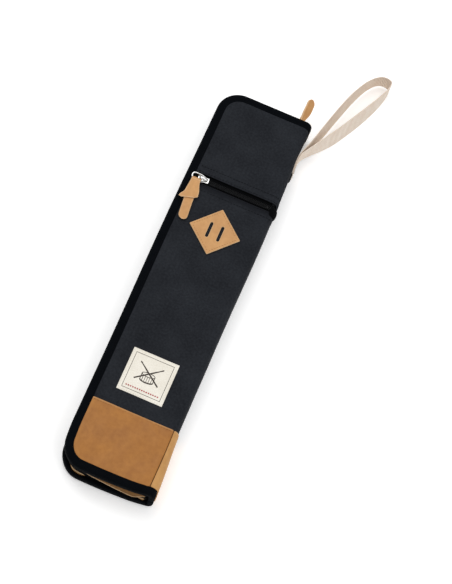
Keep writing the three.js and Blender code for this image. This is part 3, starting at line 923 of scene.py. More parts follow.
def bindings():
    covers = [(True, "front", "top", across_front), (False, "back", "bottom", across_back)]
    for front, side, end, join in covers:
        frames = rim_frames(spine_z=MID_Z - 0.8, front=front, step=3.5)
        obj = sweep(side + "_edge_binding", frames, band_section(frames, 1.0 if front else 0.6), BAND)
        join(obj)
        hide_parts(side + "_binding", "spine_binding_" + end)
        at, out, up = rim_frames(spine_z=MID_Z + 2, front=front, step=1.5)
        line = at + out * -7.5 + up * (0.42 if front else 0.26)
        join(stitches(side + "_edge_binding_stitches", [(line, up)], radius=0.22))


# ---- the zip round the rim

def near_base(y):
    """0 along most of the free side, rising to 1 where the base's free corner starts."""
    return smoothstep(-y, HALF_LENGTH - 80, HALF_LENGTH - CORNER_RADIUS)


def base_run(x, y):
    """0 up to the base's free corner, then rising evenly to 1 at the base's spine end."""
    return min(1.0, max(0.0, (x + 44) / (FOLD_X + 44))) if y < CORNER_RADIUS - HALF_LENGTH else 0.0


def leather_edge(x, y, front):
    """The height of the leather gusset's free edge. At the base, the front one reaches down at the spine."""
    run = base_run(x, y)
    if front:
        return 21 + 6.4 * near_base(y) - 18.3 * max(0.0, run - 0.18) / 0.82 + 12 * smoothstep(run, 0.86, 0.98)
    return 14 - 1.5 * near_base(y) - 3.5 * smoothstep(run, 0.2, 0.34) + 3.0 * smoothstep(run, 0.88, 0.96)


def zip_level(x, y):
    """The height of the rim zip's middle, half way between the gussets."""
    return (leather_edge(x, y, True) + leather_edge(x, y, False)) / 2


def strip_section(outer, thickness):
    """A closed section from an open outer line of (out, up) points, thickened towards the bag's inside."""
    line = np.array(outer, float)
    along = unit(np.gradient(line, axis=0))
    normal = np.stack([-along[:, 1], along[:, 0]], 1)
    return [tuple(p) for p in line] + [tuple(p) for p in (line + normal * thickness)[::-1]]


def part_of(frames, keep):
    at, out, up = frames
    chosen = np.array([keep(p[1]) for p in at])
    return at[chosen], out[chosen], up[chosen]


def rim_zip(side):
    """A cover's gusset, its leather part over the base, its zip tape and its half of the coil."""
    front = side == "front"
    body = side + "_cover"
    sign = 1 if front else -1
    root = HEIGHT - 7.4 if front else BACK_FACE + 6.9
    frames = rim_frames(front=front, step=3.0, start_x=FOLD_X - 1)
    fabric_frames = part_of(frames, lambda y: y > LEATHER_TOP - 3)
    leather_frames = part_of(frames, lambda y: y < LEATHER_TOP + 2)

    def level(z):
        return z - HEIGHT if front else BACK_FACE - z

    def fabric_edge(x, y):
        return zip_level(x, y) + sign * 3.6

    def hide_edge(x, y):
        return leather_edge(x, y, front)

    def recess(x, y):
        """The back gusset sinks in at the base, and less past the free corner and beside the spine."""
        run = base_run(x, y)
        shallow = 1.8 * pulse(run, 0.05, 0.27, 0.04) + 3.0 * smoothstep(run, 0.86, 0.96)
        return 0.0 if front else (4.0 - shallow) * near_base(y)

    def strip(at, edge, insets, thickness):
        """The sections of a strip from its free edge to the band. insets are (part of the way, inset)."""
        def section(i):
            x, y = at[i][:2]
            free = edge(x, y)
            wave = 0.35 * ripple(x, y, 0, 15, 6.0) - recess(x, y)
            line = [(wave - inset, level(free + (root - free) * t)) for t, inset in insets]
            return strip_section(line, thickness)
        return section

    def tape(i):
        x, y = frames[0][i][:2]
        edge = hide_edge(x, y) if y < LEATHER_TOP else fabric_edge(x, y)
        middle = zip_level(x, y)
        top = sign * min(max(sign * edge + 1.5, sign * middle + 2.5), sign * root)
        start = middle + sign * 0.75
        return strip_section([(-5.3, level(start)), (-4.9, level(start + sign * 0.8)),
                              (-4.7, level((start + top) / 2)), (-4.6, level(top))], 0.6)

    def cut_edge(i):
        x, y = leather_frames[0][i][:2]
        free, back = hide_edge(x, y), recess(x, y)
        return [(-a - back, level(free + sign * b)) for a, b in
                [(3.0, -0.1), (1.9, -0.15), (1.35, 0.1), (1.3, 0.5), (1.7, 0.8), (3.0, 0.6)]]

    cloth_insets = [(0, 3.0), (0.1, 2.6), (0.5, 2.2), (0.85, 2.6), (1, 3.3)]
    hide_insets = [(0, 2.2), (0.08, 1.7), (0.5, 1.2), (0.85, 1.6), (1, 2.8)]
    cloth = strip(fabric_frames[0], fabric_edge, cloth_insets, 1.0)
    hide = strip(leather_frames[0], hide_edge, hide_insets, 1.4)
    at, out, up = frames
    middle = np.array([level(zip_level(x, y)) for x, y, z in at])
    coil_frames = at + up * (middle + 0.95)[:, None], out, up
    phase = 0.0 if front else math.pi
    pieces = [(sweep(side + "_rim_zip_tape", frames, tape, ZIP_TAPE), "_zip_tape"),
              (sweep(side + "_rim_gusset", fabric_frames, cloth, FABRIC), "_gusset"),
              (sweep(side + "_leather_gusset", leather_frames, hide, SHADED_GUSSET_LEATHER), "_gusset_leather"),
              (coil(side + "_rim_coil", coil_frames, (-5.3, 0), 1.15, 0.8, 1.9, 0.34, phase), "_zip_teeth")]
    for obj, node in pieces:
        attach(obj, body)
        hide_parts(side + node)
    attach(sweep(side + "_leather_gusset_edge", leather_frames, cut_edge, RAW_EDGE), body)
    at, out, up = fabric_frames
    edge = np.array([level(fabric_edge(x, y) + sign * 2.0) for x, y, z in at])
    sewn_line = at + out * -2.35 + up * edge[:, None]
    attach(stitches(side + "_rim_gusset_stitches", [(sewn_line, out)], radius=0.22), body)


# ---- the pocket's zip

def front_line(s_values, y, height):
    """Frames along the front at one y: out is +Y, and up leaves the face."""
    at, up = front_row([(s, y) for s in s_values], lambda s, y: height)
    return np.array(at), steady((0, 1, 0), at), np.array(up, float)


def pocket_zip_half(side, sign):
    """One of the pocket zip's tapes and its half of the coil."""
    start, end = 5 - HALF_WIDTH, FOLD_X + FOLD_ARC * 0.8
    stations = spaced(start, FOLD_X + 1, 3.0) + spaced(FOLD_X + 1, end, 1.0)

    def section(i):
        """The tape narrows and comes up against the fabric where it goes round the fold."""
        bend = smoothstep(stations[i], FOLD_X - 6, FOLD_X)
        wide, lift, edge = 10.5 - 4.5 * bend, 0.9 * bend, -0.6 * bend
        outline = [(1.1, 0.0), (2.4, 0.12), (5.0, -0.1), (wide, edge - 0.3), (wide, edge - 0.8), (5.0, -0.6),
                   (2.4, -0.45), (1.1, -0.5)]
        return [(sign * a, b + lift) for a, b in outline]

    frames = front_line(stations, POCKET_ZIP_Y, -1.6)
    tape = sweep("pocket_zip_tape_" + side + "_half", frames, section, ZIP_TAPE)
    across_front(tape)
    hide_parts("pocket_zip_tape_" + side)
    at, out, up = front_line(spaced(start, end, 1.0), POCKET_ZIP_Y, -0.75)
    phase = 0.0 if sign > 0 else math.pi
    teeth = coil("pocket_coil_" + side, (at, up, out), (0.0, sign * 1.25), 1.5, 0.75, 1.9, 0.4, phase)
    across_front(teeth)
    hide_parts("pocket_zip_teeth_" + side)


def pocket_zip():
    pocket_zip_half("upper", 1)
    pocket_zip_half("lower", -1)
    seams = []
    for offset in HEM_ROWS:
        for sign in (1, -1):
            places = [(s, POCKET_ZIP_Y + sign * (zip_gap(s, sign) + offset))
                      for s in spaced(BAND_WIDTH + 2 - HALF_WIDTH, FOLD_X + 10, 1.0)]
            seams.append(front_row(places, lambda s, y: fabric_rise(s, y) + 0.2))
    across_front(stitches("pocket_hem_stitches", seams, radius=0.3))

    # The tape's folded end stands out where it goes over the fold
    stations = spaced(FOLD_X + 1, MID_S - 1, 1.0)

    def end_section(i):
        t = i / (len(stations) - 1)
        rise = 3.3 * math.sin(math.pi * min(1, 0.06 + t * 0.94)) ** 0.7 - 0.7
        half = 7.0 * (1 - 0.25 * t * t)
        return [(a * half, b) for a, b in [(-1, -1.2), (-0.9, rise * 0.5), (-0.45, rise), (0.45, rise),
                                           (0.9, rise * 0.5), (1, -1.2), (0.5, -1.6), (-0.5, -1.6)]]

    frames = front_line(stations, POCKET_ZIP_Y - 3.0, 0.0)
    across_front(sweep("pocket_zip_folded_end", frames, end_section, ZIP_TAPE))
    stop = [(-1.2, -0.6), (-1.3, 0.3), (-0.9, 0.7), (0.9, 0.7), (1.3, 0.3), (1.2, -0.6)]
    frames = front_line([FOLD_X - 3.6, FOLD_X - 3.2, FOLD_X - 1.9, FOLD_X - 1.5], POCKET_ZIP_Y, -0.7)
    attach(sweep("pocket_zip_stop", frames, stop, COIL), "front_cover")


# ---- sliders, bails and pulls

def plate(name, outline, low, high, material, bevel=0.35, holes=(), rim=None):
    """A flat plate with rounded edges, from (x, y) outlines. rim is the material of its cut edges."""
    shape = bmesh.new()
    edges = []
    for line in [outline, *holes]:
        verts = [shape.verts.new((x * MM, y * MM, high * MM)) for x, y in line]
        edges += [shape.edges.new(pair) for pair in sides(verts)]
    bmesh.ops.triangle_fill(shape, use_beauty=True, edges=edges)
    bmesh.ops.recalc_face_normals(shape, faces=shape.faces)
    if shape.faces[:][0].normal.z < 0:
        bmesh.ops.reverse_faces(shape, faces=shape.faces)
    down = bmesh.ops.extrude_face_region(shape, geom=shape.faces[:], use_keep_orig=True)["geom"]
    for v in [g for g in down if isinstance(g, bmesh.types.BMVert)]:
        v.co.z = low * MM
    bmesh.ops.reverse_faces(shape, faces=[g for g in down if isinstance(g, bmesh.types.BMFace)])
    bmesh.ops.recalc_face_normals(shape, faces=shape.faces)
    bmesh.ops.dissolve_limit(shape, angle_limit=0.01, verts=shape.verts, edges=shape.edges)
    mesh = bpy.data.meshes.new(name)
    shape.to_mesh(mesh)
    shape.free()
    layer = mesh.uv_layers.new(name="surface")
    for loop in mesh.loops:
        x, y, z = mesh.vertices[loop.vertex_index].co
        layer.data[loop.index].uv = (x + z, y + z)
    mesh.materials.append(material.data)
    obj = bpy.data.objects.new(name, mesh)
    bpy.context.scene.collection.objects.link(obj)
    bevelled = modifier(obj, "BEVEL", width=bevel * MM, segments=3, limit_method="ANGLE")
    if rim is not None:
        mesh.materials.append(rim.data)
        bevelled.material = 1
        for polygon in mesh.polygons:
            polygon.material_index = int(abs(polygon.normal.z) < 0.5)
    return obj


def turned(obj, turn, origin):
    """Moves a piece's own points: first turned, then placed, in millimetres."""
    obj.data.transform(Matrix.Translation(Vector(origin) * MM) @ turn.to_4x4())
    obj.data.update()
    return obj


def slider(name, turn, origin, body, gap):
    """A zip slider: two waisted plates on a wedge-shaped post, and the bridge that holds the bail.
    It is drawn lying flat and opening towards +X, with the tape's middle at height 0. Its body and node share
    a name."""
    one_side = [(-6.4, 2.6), (-5.8, 3.3), (-1.5, 3.5), (1.5, 4.7), (5.4, 4.9), (6.3, 4.0)]
    outline = [(x, -y) for x, y in one_side] + one_side[::-1]
    wedge = [(3.4, 0), (4.8, -0.6), (5.8, 0), (4.8, 0.6)]
    top, plate_thickness = gap / 2, 1.2
    deck = top + plate_thickness
    arch = [(x, 0, deck + z) for x, z in [(-4.6, -0.2), (-4.5, 1.6), (-3.4, 2.7), (-1.2, 3.05), (1.4, 3.05),
                                          (3.4, 2.6), (4.6, 1.5), (4.8, -0.2)]]
    section = [(a * 1.55, b * 0.6) for a, b in circle(1.0)]
    pieces = [plate(name + "_top_plate", outline, top, deck, NICKEL),
              plate(name + "_bottom_plate", outline, -deck, -top, NICKEL),
              plate(name + "_post", wedge, -top - 0.2, top + 0.2, NICKEL, 0.2),
              sweep(name + "_bridge", tube_frames(arch), section, NICKEL)]
    for obj in pieces:
        turned(obj, turn, origin)
        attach(obj, body)
    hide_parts(body)


def bail(name, turn, origin, reach, width, wire, body):
    """The wire loop on a slider, which carries the pull. It reaches from its pin at the origin towards -X."""
    corner = 2.6
    half = width / 2 - wire / 2
    far = wire / 2 - reach
    bend = spaced(0, math.pi / 2, 0.4)
    pin = half - corner / 2
    line = [(0, y, 0.35 * math.cos(math.pi * y / width)) for y in spaced(-pin, pin, 1.2)]
    line += [(-corner / 3, half, 0), (-reach * 0.45, half, 0.5)]
    line += [(far + corner * (1 - math.sin(a)), half - corner * (1 - math.cos(a)), 0.2) for a in bend]
    line += [(far, y, 0.2) for y in spaced(half - corner, corner - half, 1.6)]
    line += [(far + corner * (1 - math.cos(a)), -half + corner * (1 - math.sin(a)), 0.2) for a in bend]
    line += [(-reach * 0.45, -half, 0.5), (-corner / 3, -half, 0)]
    obj = sweep(name, tube_frames(line, True), circle(wire / 2), NICKEL, closed=True)
    turned(obj, turn, origin)
    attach(obj, body)
    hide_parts(body)


def leaf(name, half_width, y_from, y_to, middle, thickness, turn, origin, lean, skew=0.0):
    """A soft leather blank: half_width(y) wide either side of its own line, with its face at middle(x, y).
    lean(y) moves it sideways, and skew cuts its far end at a slant."""
    rows, columns = 26, 9
    points, wear_and_painted_light = [], []
    for r in range(rows + 1):
        y = y_from + (y_to - y_from) * (0.5 - 0.5 * math.cos(math.pi * r / rows))
        w = half_width(y)
        for c in range(columns + 1):
            u = 2 * c / columns - 1
            points.append((w * u, y, middle(w * u, y) - 0.16 * u ** 6))
            border = min(w * (1 - abs(u)), abs(y - y_from), abs(y - y_to))
            wear_and_painted_light.append(1 - smoothstep(border, 0.1, 1.3))
    points = np.array(points)
    part = (points[:, 1] - y_from) / (y_to - y_from)
    slant = skew * (points[:, 0] + points[:, 0].max()) * eased(part, 0.45, 1.0)
    points[:, 0] += [lean(y) for y in points[:, 1]]
    points[:, 1] += slant
    faces = grid_faces(rows + 1, columns + 1)
    obj = mesh_piece(name, points, faces, [PALE, RAW_EDGE], points[:, :2] * MM, wear_and_painted_light, outward=False)
    thicken(facing(obj, 2), thickness, rim=1)
    smooth(obj)
    return turned(obj, turn, origin)


def round_end(y, start, radius):
    """The half-width of a leather tail at y, which is radius until start and then rounds off to its tip."""
    over = y - start
    return radius * math.sqrt(max(0.0, 1 - (over / radius) ** 2)) if over > 0 else radius


def pocket_slider():
    low, high = cad("pocket_slider")
    place = ((low[0] + high[0]) / 2, POCKET_ZIP_Y, HEIGHT - 0.9)
    slider("pocket_zip_slider", Matrix.Rotation(math.pi, 3, "Z"), place, "pocket_slider", 2.4)
    low, high = cad("pocket_bail")
    pin = (high[0] - BAIL_PIN, (low[1] + high[1]) / 2, (low[2] + high[2]) / 2)
    bail("pocket_zip_bail", Matrix.Identity(3), pin, high[0] - low[0] - BAIL_PIN, high[1] - low[1], 2.0,
         "pocket_bail")


def pocket_pull():
    """A broad head over a narrow tail, joined by a strip round the bail's wire."""
    bail_low, bail_high = cad("pocket_bail")
    low, high = cad("pocket_pull")
    head = ((low[0] + high[0]) / 2 + 1.4, high[1], (bail_low[2] + bail_high[2]) / 2)
    straight = Matrix.Identity(3)

    def head_half(y):
        wide = 5.4 + 2.6 * smoothstep(-y, 1, 17) + 2.2 * smoothstep(-y, 17, 25)
        return wide * (1 - 0.3 * smoothstep(-y, 25.2, 27.6) ** 1.5)

    def head_level(x, y):
        hollow = 0.006 * x * x * smoothstep(-y, 4, 16)
        return 2.2 - 0.2 * smoothstep(-y, 2, 20) - hollow + 0.2 * ripple(x, y, 0, 9)

    def head_lean(y):
        return 1.4 * smoothstep(-y, 1, 16) - 1.8 * smoothstep(-y, 16, 26)

    def tail_half(y):
        return max(0.05, round_end(-y, 45.4, 5.3))

    def tail_level(x, y):
        return -0.15 + 0.6 * smoothstep(-y, 8, 26) + 0.1 * ripple(x, y, 4, 11)

    def tail_lean(y):
        return 3.8 * (max(0.0, -y) / 53) ** 1.5

    upper = leaf("pocket_pull_head", head_half, 0.6, -27.4, head_level, 1.25, straight, head, head_lean, 0.32)
    tail = leaf("pocket_pull_tail", tail_half, 0.6, -50.7, tail_level, 1.2, straight, head, tail_lean)
    wire = np.array((0, bail_low[1] + BAIL_PIN - head[1], 0.15))
    angles = spaced(-0.9, math.pi + 0.9, 0.3)
    at = np.array([wire + (0, 1.55 * math.sin(a), 1.45 * math.cos(a)) for a in angles])
    strip = [(-4.9, 0.5), (0, 0.62), (4.9, 0.5), (5.2, 0), (4.9, -0.5), (-4.9, -0.5), (-5.2, 0)]
    loop = sweep("pocket_pull_loop", (at, steady((1, 0, 0), at), unit(at - wire)), strip, PALE)
    turned(loop, straight, head)
    for obj in (upper, tail, loop):
        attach(obj, "pocket_pull")
    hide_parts("pocket_pull")


def main_slider():
    low, high = cad("main_bail")
    x = (low[0] + high[0]) / 2
    stand = Matrix.Rotation(-math.pi / 2, 3, "X")
    slider("main_zip_slider", stand, (x, HALF_LENGTH - RIM_ZIP_INSET, MID_Z), "main_slider", 2.6)
    turn = Matrix.Rotation(-math.pi / 2, 3, "Z") @ stand
    pin = (x, low[1] + BAIL_PIN, MID_Z)
    bail("main_zip_bail", turn, pin, high[1] - pin[1], high[2] - low[2], 1.6, "main_bail")


def main_pull():
    """A folded paddle, whose two leaves come together past the bail."""
    low, high = cad("main_pull")
    length, tip = high[1] - low[1], 5.0
    place = ((low[0] + high[0]) / 2, low[1] + 0.2, MID_Z)
    tilt = Matrix.Rotation(math.pi * 0.2, 3, "Y")

    def paddle(y):
        return max(0.05, (3.0 + 2.1 * smoothstep(y, 1, 15)) * round_end(y, length - tip, tip) / tip)

    def lean(y):
        return 1.8 * math.sin(math.pi * y / length)

    for name, side in [("main_pull_face", 1), ("main_pull_back", -1)]:
        def bent(x, y):
            return side * (0.66 + 0.9 * (1 - smoothstep(y, 0, 7))) + 3.8 * (y / length) ** 2

        obj = leaf(name, paddle, 0.0, length, bent, 1.2, tilt, place, lean)
        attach(obj, "main_pull")
        if side > 0:
            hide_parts("main_pull")


# ---- patch and label

def lash_patch():
    """A leather diamond with two slots along the bag, sewn on round its edge."""
    corner, inset, thickness = 0.7, 2.4, 1.5
    slot_radius, slot_half = 1.7, 8.1
    turn = Matrix.Rotation(math.radians(3.3), 3, "Z")
    place = (PATCH_MIDDLE[0], PATCH_MIDDLE[1], cad("lash_patch")[0][2])
    outline = []
    for x, y in square(PATCH_HALF - corner * math.sqrt(2), 0):
        tip = math.atan2(y, x)
        outline += [(x + corner * math.cos(a), y + corner * math.sin(a))
                    for a in np.linspace(tip - math.pi / 4, tip + math.pi / 4, 5)]
    holes = []
    for x in (-6.5, 6.5):
        hole = [(x + slot_radius * math.cos(a), way * slot_half + slot_radius * math.sin(a), 0)
                for way, first in [(1, 0), (-1, math.pi)] for a in np.linspace(first, first + math.pi, 7)]
        holes.append([(turn.inverted() @ Vector(p))[:2] for p in hole])
    patch = plate("diamond_lash_patch", outline, 0, thickness, PALE, 0.35, holes, RAW_EDGE)
    rows = [seam((*a, thickness + 0.02), (*b, thickness + 0.02), 12, (0, 0, 1), 0.03)
            for a, b in sides(square(PATCH_HALF - inset * math.sqrt(2), 0))]
    sewn = stitches("lash_patch_stitches", rows, TAN_THREAD, 2.9, 2.1, 0.16)
    for obj in (patch, sewn):
        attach(turned(obj, turn, place), "front_cover")
    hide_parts("lash_patch")


def label_level(x, y):
    """The height of the label's face at (x, y) from its middle. It follows the fabric, lower at its edges."""
    edge = LABEL_HALF - max(abs(x), abs(y))
    lift = 0.65 - 0.25 * (1 - smoothstep(edge, 0, 2.5))
    return HEIGHT + skin(LABEL_MIDDLE[0] + x, LABEL_MIDDLE[1] + y) + lift + 0.08 * ripple(x, y, 0, 14)


def on_label(line, height):
    """Points at a height over the label's face, from (x, y) points about its middle."""
    return [(LABEL_MIDDLE[0] + x, LABEL_MIDDLE[1] + y, label_level(x, y) + height) for x, y in line]


def stroke(line, width, closed=False):
    """A line drawn with a width: its left side, then its right side back, and whether it is closed."""
    line = np.array(line, float)
    along = unit(np.roll(line, -1, 0) - np.roll(line, 1, 0)) if closed else unit(np.gradient(line, axis=0))
    side = np.stack([-along[:, 1], along[:, 0]], 1) * np.reshape(width, (-1, 1)) / 2
    return [*(line - side), *(line + side)[::-1]], closed


def inked(name, strokes, material):
    """Flat printed figures that follow the label's surface."""
    points, faces = [], []
    for line, closed in strokes:
        base, n = len(points), len(line)
        points += on_label(line, 0.12)
        faces += [(base + i, base + i + 1, base + n - 2 - i, base + n - 1 - i) for i in range(n // 2 - 1)]
        if closed:
            faces.append((base + n // 2 - 1, base, base + n - 1, base + n // 2))
    obj = mesh_piece(name, points, faces, material, outward=False)
    thicken(obj, 0.15)
    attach(obj, "front_cover")


def drum_figures():
    """Two crossed sticks and a small drum, as strokes."""
    figures = []
    along = np.linspace(-17, 17, 26)
    widths = [1.5 - 0.5 * smoothstep(t, 4, 13.5) + 0.5 * pulse(t, 14.2, 16.4, 0.7)
              - 0.9 * smoothstep(t, 16.2, 17) for t in along]
    for tilt in (math.radians(142), math.radians(38)):
        figures.append(stroke([(t * math.cos(tilt), t * math.sin(tilt) + 3.0) for t in along], widths))
    wide, deep, top, bottom = 7.2, 2.3, 1.4, -5.8
    turn = np.linspace(0, 2 * math.pi, 32, endpoint=False)
    rim = [(wide * math.cos(a), deep * math.sin(a) + top) for a in turn]
    half_turn = np.linspace(math.pi, 2 * math.pi, 16)
    foot = [(wide * math.cos(a), deep * math.sin(a) + bottom) for a in half_turn]
    figures += [stroke(rim, 0.75, True), stroke(foot, 1.0), stroke([(x, y + 0.9) for x, y in foot], 0.35)]
    figures += [stroke([(x, top), (x, -2.0), (x, bottom)], 0.75) for x in (-wide, wide)]
    for x in (-4.9, -2.4, 0, 2.4, 4.9):
        drop = deep * math.sqrt(1 - (x / wide) ** 2)
        figures.append(stroke([(x, z - drop) for z in (1.2, -2, -5.6)], 0.5))
    return figures


def label():
    """A sewn cloth label, with a thin border, a drum under crossed sticks and a row of red dashes."""
    count = 24
    steps = [LABEL_HALF * math.sin(math.pi / 2 * (2 * k / count - 1)) for k in range(count + 1)]
    points = on_label([(x, y) for y in steps for x in steps], 0)
    cloth = mesh_piece("woven_label", points, grid_faces(count + 1, count + 1), LABEL, outward=False)
    thicken(cloth, 0.7)
    smooth(cloth)
    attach(cloth, "front_cover")
    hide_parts("label")
    border = [stroke(between(a, b, 10), 0.45) for a, b in sides(square(LABEL_HALF - 4.3, math.pi / 4))]
    inked("label_border_and_drum", border + drum_figures(), INK)
    dashes = [stroke([(x + dx, -17.6) for dx in (-0.75, 0, 0.75)], 1.5) for x in np.linspace(-17.6, 17.6, 15)]
    inked("label_red_dashes", dashes, RED_INK)
    rows = []
    for a, b in sides(square(LABEL_HALF - 1.3, math.pi / 4)):
        line = on_label(between(a, b, 14, 0.01), 0.02)
        rows.append((line, steady((0, 0, 1), line)))
    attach(stitches("label_stitches", rows, CREAM_THREAD, 2.6, 1.9, 0.18), "front_cover")


# ---- inside

# Each lining's line as it leaves its cover, lies in the fold and comes down the spine's padding: (x, z)
FRONT_FOLD = [(44.2, 26.9), (44.9, 27.6), (45.3, 29.4), (46.3, 31.1), (48.2, 31.4), (49.8, 30.0),
              (50.2, 28.2), (49.6, 27.0), (48.0, 26.6)]
FRONT_FOLD += [(PADDING_X, z) for z in (25.6, 23.0, 20.2, 17.6)]
BACK_FOLD = [(44.2, 4.8), (45.3, 4.3), (46.2, 3.3), (48.0, 3.4), (49.5, 5.0), (50.1, 6.8), (49.4, 8.0),
             (48.0, 8.4)]
BACK_FOLD += [(PADDING_X, z) for z in (9.4, 12.0, 14.8, 17.4)]


def lining(side, fold, away, nodes):
    """The lining of a cover, from its gusset across to the spine, sewn round close to its edge. away is +1
    or -1 in Z, off its foam, and fold is its (x, z) line through the fold and down the spine's padding."""
    level, edge = fold[0][1], 4.6
    rows, uv = [], []
    for y in np.linspace(edge - HALF_LENGTH, HALF_LENGTH - edge, 96):
        left = left_edge(y, edge)
        row = []
        for x in np.linspace(left, fold[0][0], 16)[:-1]:
            soft = smoothstep(edge_inset(x, y), 8, 16) * smoothstep(-x, -43, -36)
            row.append((x, y, level + away * soft * 0.35 * ripple(x, y, 0, 26, 4.0)))
        let_out = max(0.0, settled([(PADDING_X, y, 0)])[0][0] - PADDING_X)
        row += [(x - let_out * smoothstep(x, 45, 47), y, z) for x, z in fold]
        rows.append(row)
        uv += [((left + a) * MM, y * MM) for a in lengths(np.array(row))]
    obj = cloth_piece(side + "_inner_lining", rows, LINING, 0.7, uv)
    body = side + "_cover"
    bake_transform(obj)
    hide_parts(*nodes)
    at, out, _ = rim_frames(front=side == "front", start_x=FOLD_X - 3, step=2.0)
    row = at + out * -7.2
    row[:, 2] = level + away * 0.42
    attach(stitches(side + "_lining_stitches", [(row, steady((0, 0, away), row))]), body)


def sleeve_line(height):
    """The cloth over the three stick channels, from one hem to the other, as (x, z) points."""
    low, high = cad("stick_sleeves")
    pitch, half, base = 28.0, 12.5, low[2] + 0.5
    line = [(low[0], base)]
    for x in (-pitch, 0.0, pitch):
        line += [(x - half * math.cos(a), base + height * math.sin(a)) for a in np.linspace(0, math.pi, 13)]
    return line + [(high[0], base)]


def stick_sleeves():
    """Three sewn channels for sticks on the back lining, closed at the foot."""
    low, high = cad("stick_sleeves")
    full = high[2] - low[2] - 1.0
    rows = []
    for y in [*np.linspace(low[1], low[1] + 30, 10), *np.linspace(low[1] + 30, high[1], 40)[1:]]:
        height = full * (0.06 + 0.94 * smoothstep(y - low[1], 0, 30))
        rows.append([(x, y, z + 0.4 * ripple(x, y, z, 22, 7.0) * smoothstep(z, low[2] + 1, low[2] + 6))
                     for x, z in sleeve_line(height)])
    across = [lengths(row) for row in np.array(rows)]
    uv = [(a * MM, row[0][1] * MM) for row, along in zip(rows, across) for a in along]
    cloth = cloth_piece("stick_sleeve_cloth", rows, LINING, 0.9, uv)
    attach(cloth, "back_cover")
    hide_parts("stick_sleeves")
    sleeve_mouth(low, high, full)


def sleeve_mouth(low, high, full):
    """The tape that binds the sleeves' mouth, and the rows of stitches that part the channels."""
    at = np.array([(x, high[1], z) for x, z in sleeve_line(full)])
    up = steady((0, 1, 0), at)
    out = np.cross(up, unit(np.gradient(at, axis=0)))
    out *= np.sign(out[7][2])
    wide = cad("sleeve_mouth_binding")[1][1] - high[1]
    outer = [(0.75, -0.6), (1.0, 1.2), (0.95, wide - 1.0), (0.5, wide)]
    binding = sweep("sleeve_mouth_tape", (at, out, up), outer + [(-a, b) for a, b in outer[::-1]], BAND)
    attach(binding, "back_cover")
    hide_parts("sleeve_mouth_binding")
    seams = [(at + out * 1.0 + up * 1.6, out)]
    for x in (low[0] + 1.0, -14.0, 14.0, high[0] - 1.0):
        seams.append(seam((x, low[1] + 2, low[2] + 1.0), (x, high[1] - 1, low[2] + 1.0), 60, (0, 0, 1)))
    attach(stitches("sleeve_stitches", seams), "back_cover")


def slip_pocket():
    """A flat pocket on the front cover's lining, sewn on three sides, with a bound mouth."""
    low, high = cad("inner_slip_pocket")
    lip = cad("slip_pocket_binding")[1][1]
    middle, inset, mouth = (low[2] + high[2]) / 2, 2.0, lip - high[1]

    def bow(x, y):
        side = smoothstep(high[0] - abs(x), 1, 14)
        slack_cloth = 0.25 * smoothstep(y, low[1], low[1] + 12) + 0.5 * smoothstep(y, -90, lip)
        return middle - side * (slack_cloth - 0.12 * ripple(x, y, 0, 18, 2.0))

    xs, ys = np.linspace(low[0], high[0], 20), np.linspace(low[1], high[1], 44)
    cloth = cloth_piece("slip_pocket_cloth", [[(x, y, bow(x, y)) for x in xs] for y in ys], LINING, 0.8)
    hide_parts("inner_slip_pocket")
    at = np.array([(x, high[1], bow(x, high[1])) for x in xs])
    out, up = steady((0, 0, -1), at), steady((0, 1, 0), at)
    tape = [(0.6, -0.8), (0.9, 1.0), (0.85, mouth - 1.0), (0.4, mouth), (-0.3, mouth), (-0.55, mouth - 1.0),
            (-0.6, -0.8)]
    binding = sweep("slip_pocket_tape", (at, out, up), tape, BAND)
    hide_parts("slip_pocket_binding")
    left, right, foot = low[0] + inset, high[0] - inset, low[1] + inset
    corners = [(left, high[1]), (left, foot), (right, foot), (right, high[1])]
    seams = []
    for a, b in zip(corners, corners[1:]):
        line = [(x, y, bow(x, y) - 0.42) for x, y in between(a, b, 50)]
        seams.append((line, steady((0, 0, -1), line)))
    seams.append((at + out * 0.9 + up * 1.3, out))
    sewn = stitches("slip_pocket_stitches", seams)
    for obj in (cloth, binding, sewn):
        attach(obj, "front_cover")


def inner_layers():
    """The foam and the pocket's wall keep their CAD shapes, which lie hidden under skins and linings."""
    for node, material in [("front_foam_board", FOAM), ("back_foam_board", FOAM), ("spine_padding", FOAM),
                           ("pocket_back_wall", POCKET_WALL)]:
        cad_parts[node].data.materials[0] = material.data


# ---- hand strap

def bezier(corners, t):
    a, b, c, d = [np.array(p, float) for p in corners]
    return a * (1 - t) ** 3 + b * 3 * t * (1 - t) ** 2 + c * 3 * t * t * (1 - t) + d * t ** 3


def strap_run(s):
    """Where the strap's line is after s along it, and its direction. It curves away from the spine."""
    start, out_angle = -30.0, math.radians(23.4)
    steps = np.arange(start, max(s, start + 0.5), 0.5)
    angles = [out_angle * smoothstep(a + 0.25, -14, 12) for a in steps]
    x, y = sum(math.sin(a) for a in angles) * 0.5, start + sum(math.cos(a) for a in angles) * 0.5
    last = out_angle * smoothstep(s, -14, 12)
    return (x, y), (math.sin(last), math.cos(last))


def strap_point(s, t, w, lean):
    """A point of the loop: s out along it from the spine, t across it and w up its webbing's width."""
    (x, y), along = strap_run(s)
    side = t + w * math.sin(lean)
    up = w * math.cos(lean) - 6.7 * smoothstep(s, 0, 60)
    return (SWING[0] + x - along[1] * side, SWING[1] + y + along[0] * side, SWING[2] + up)


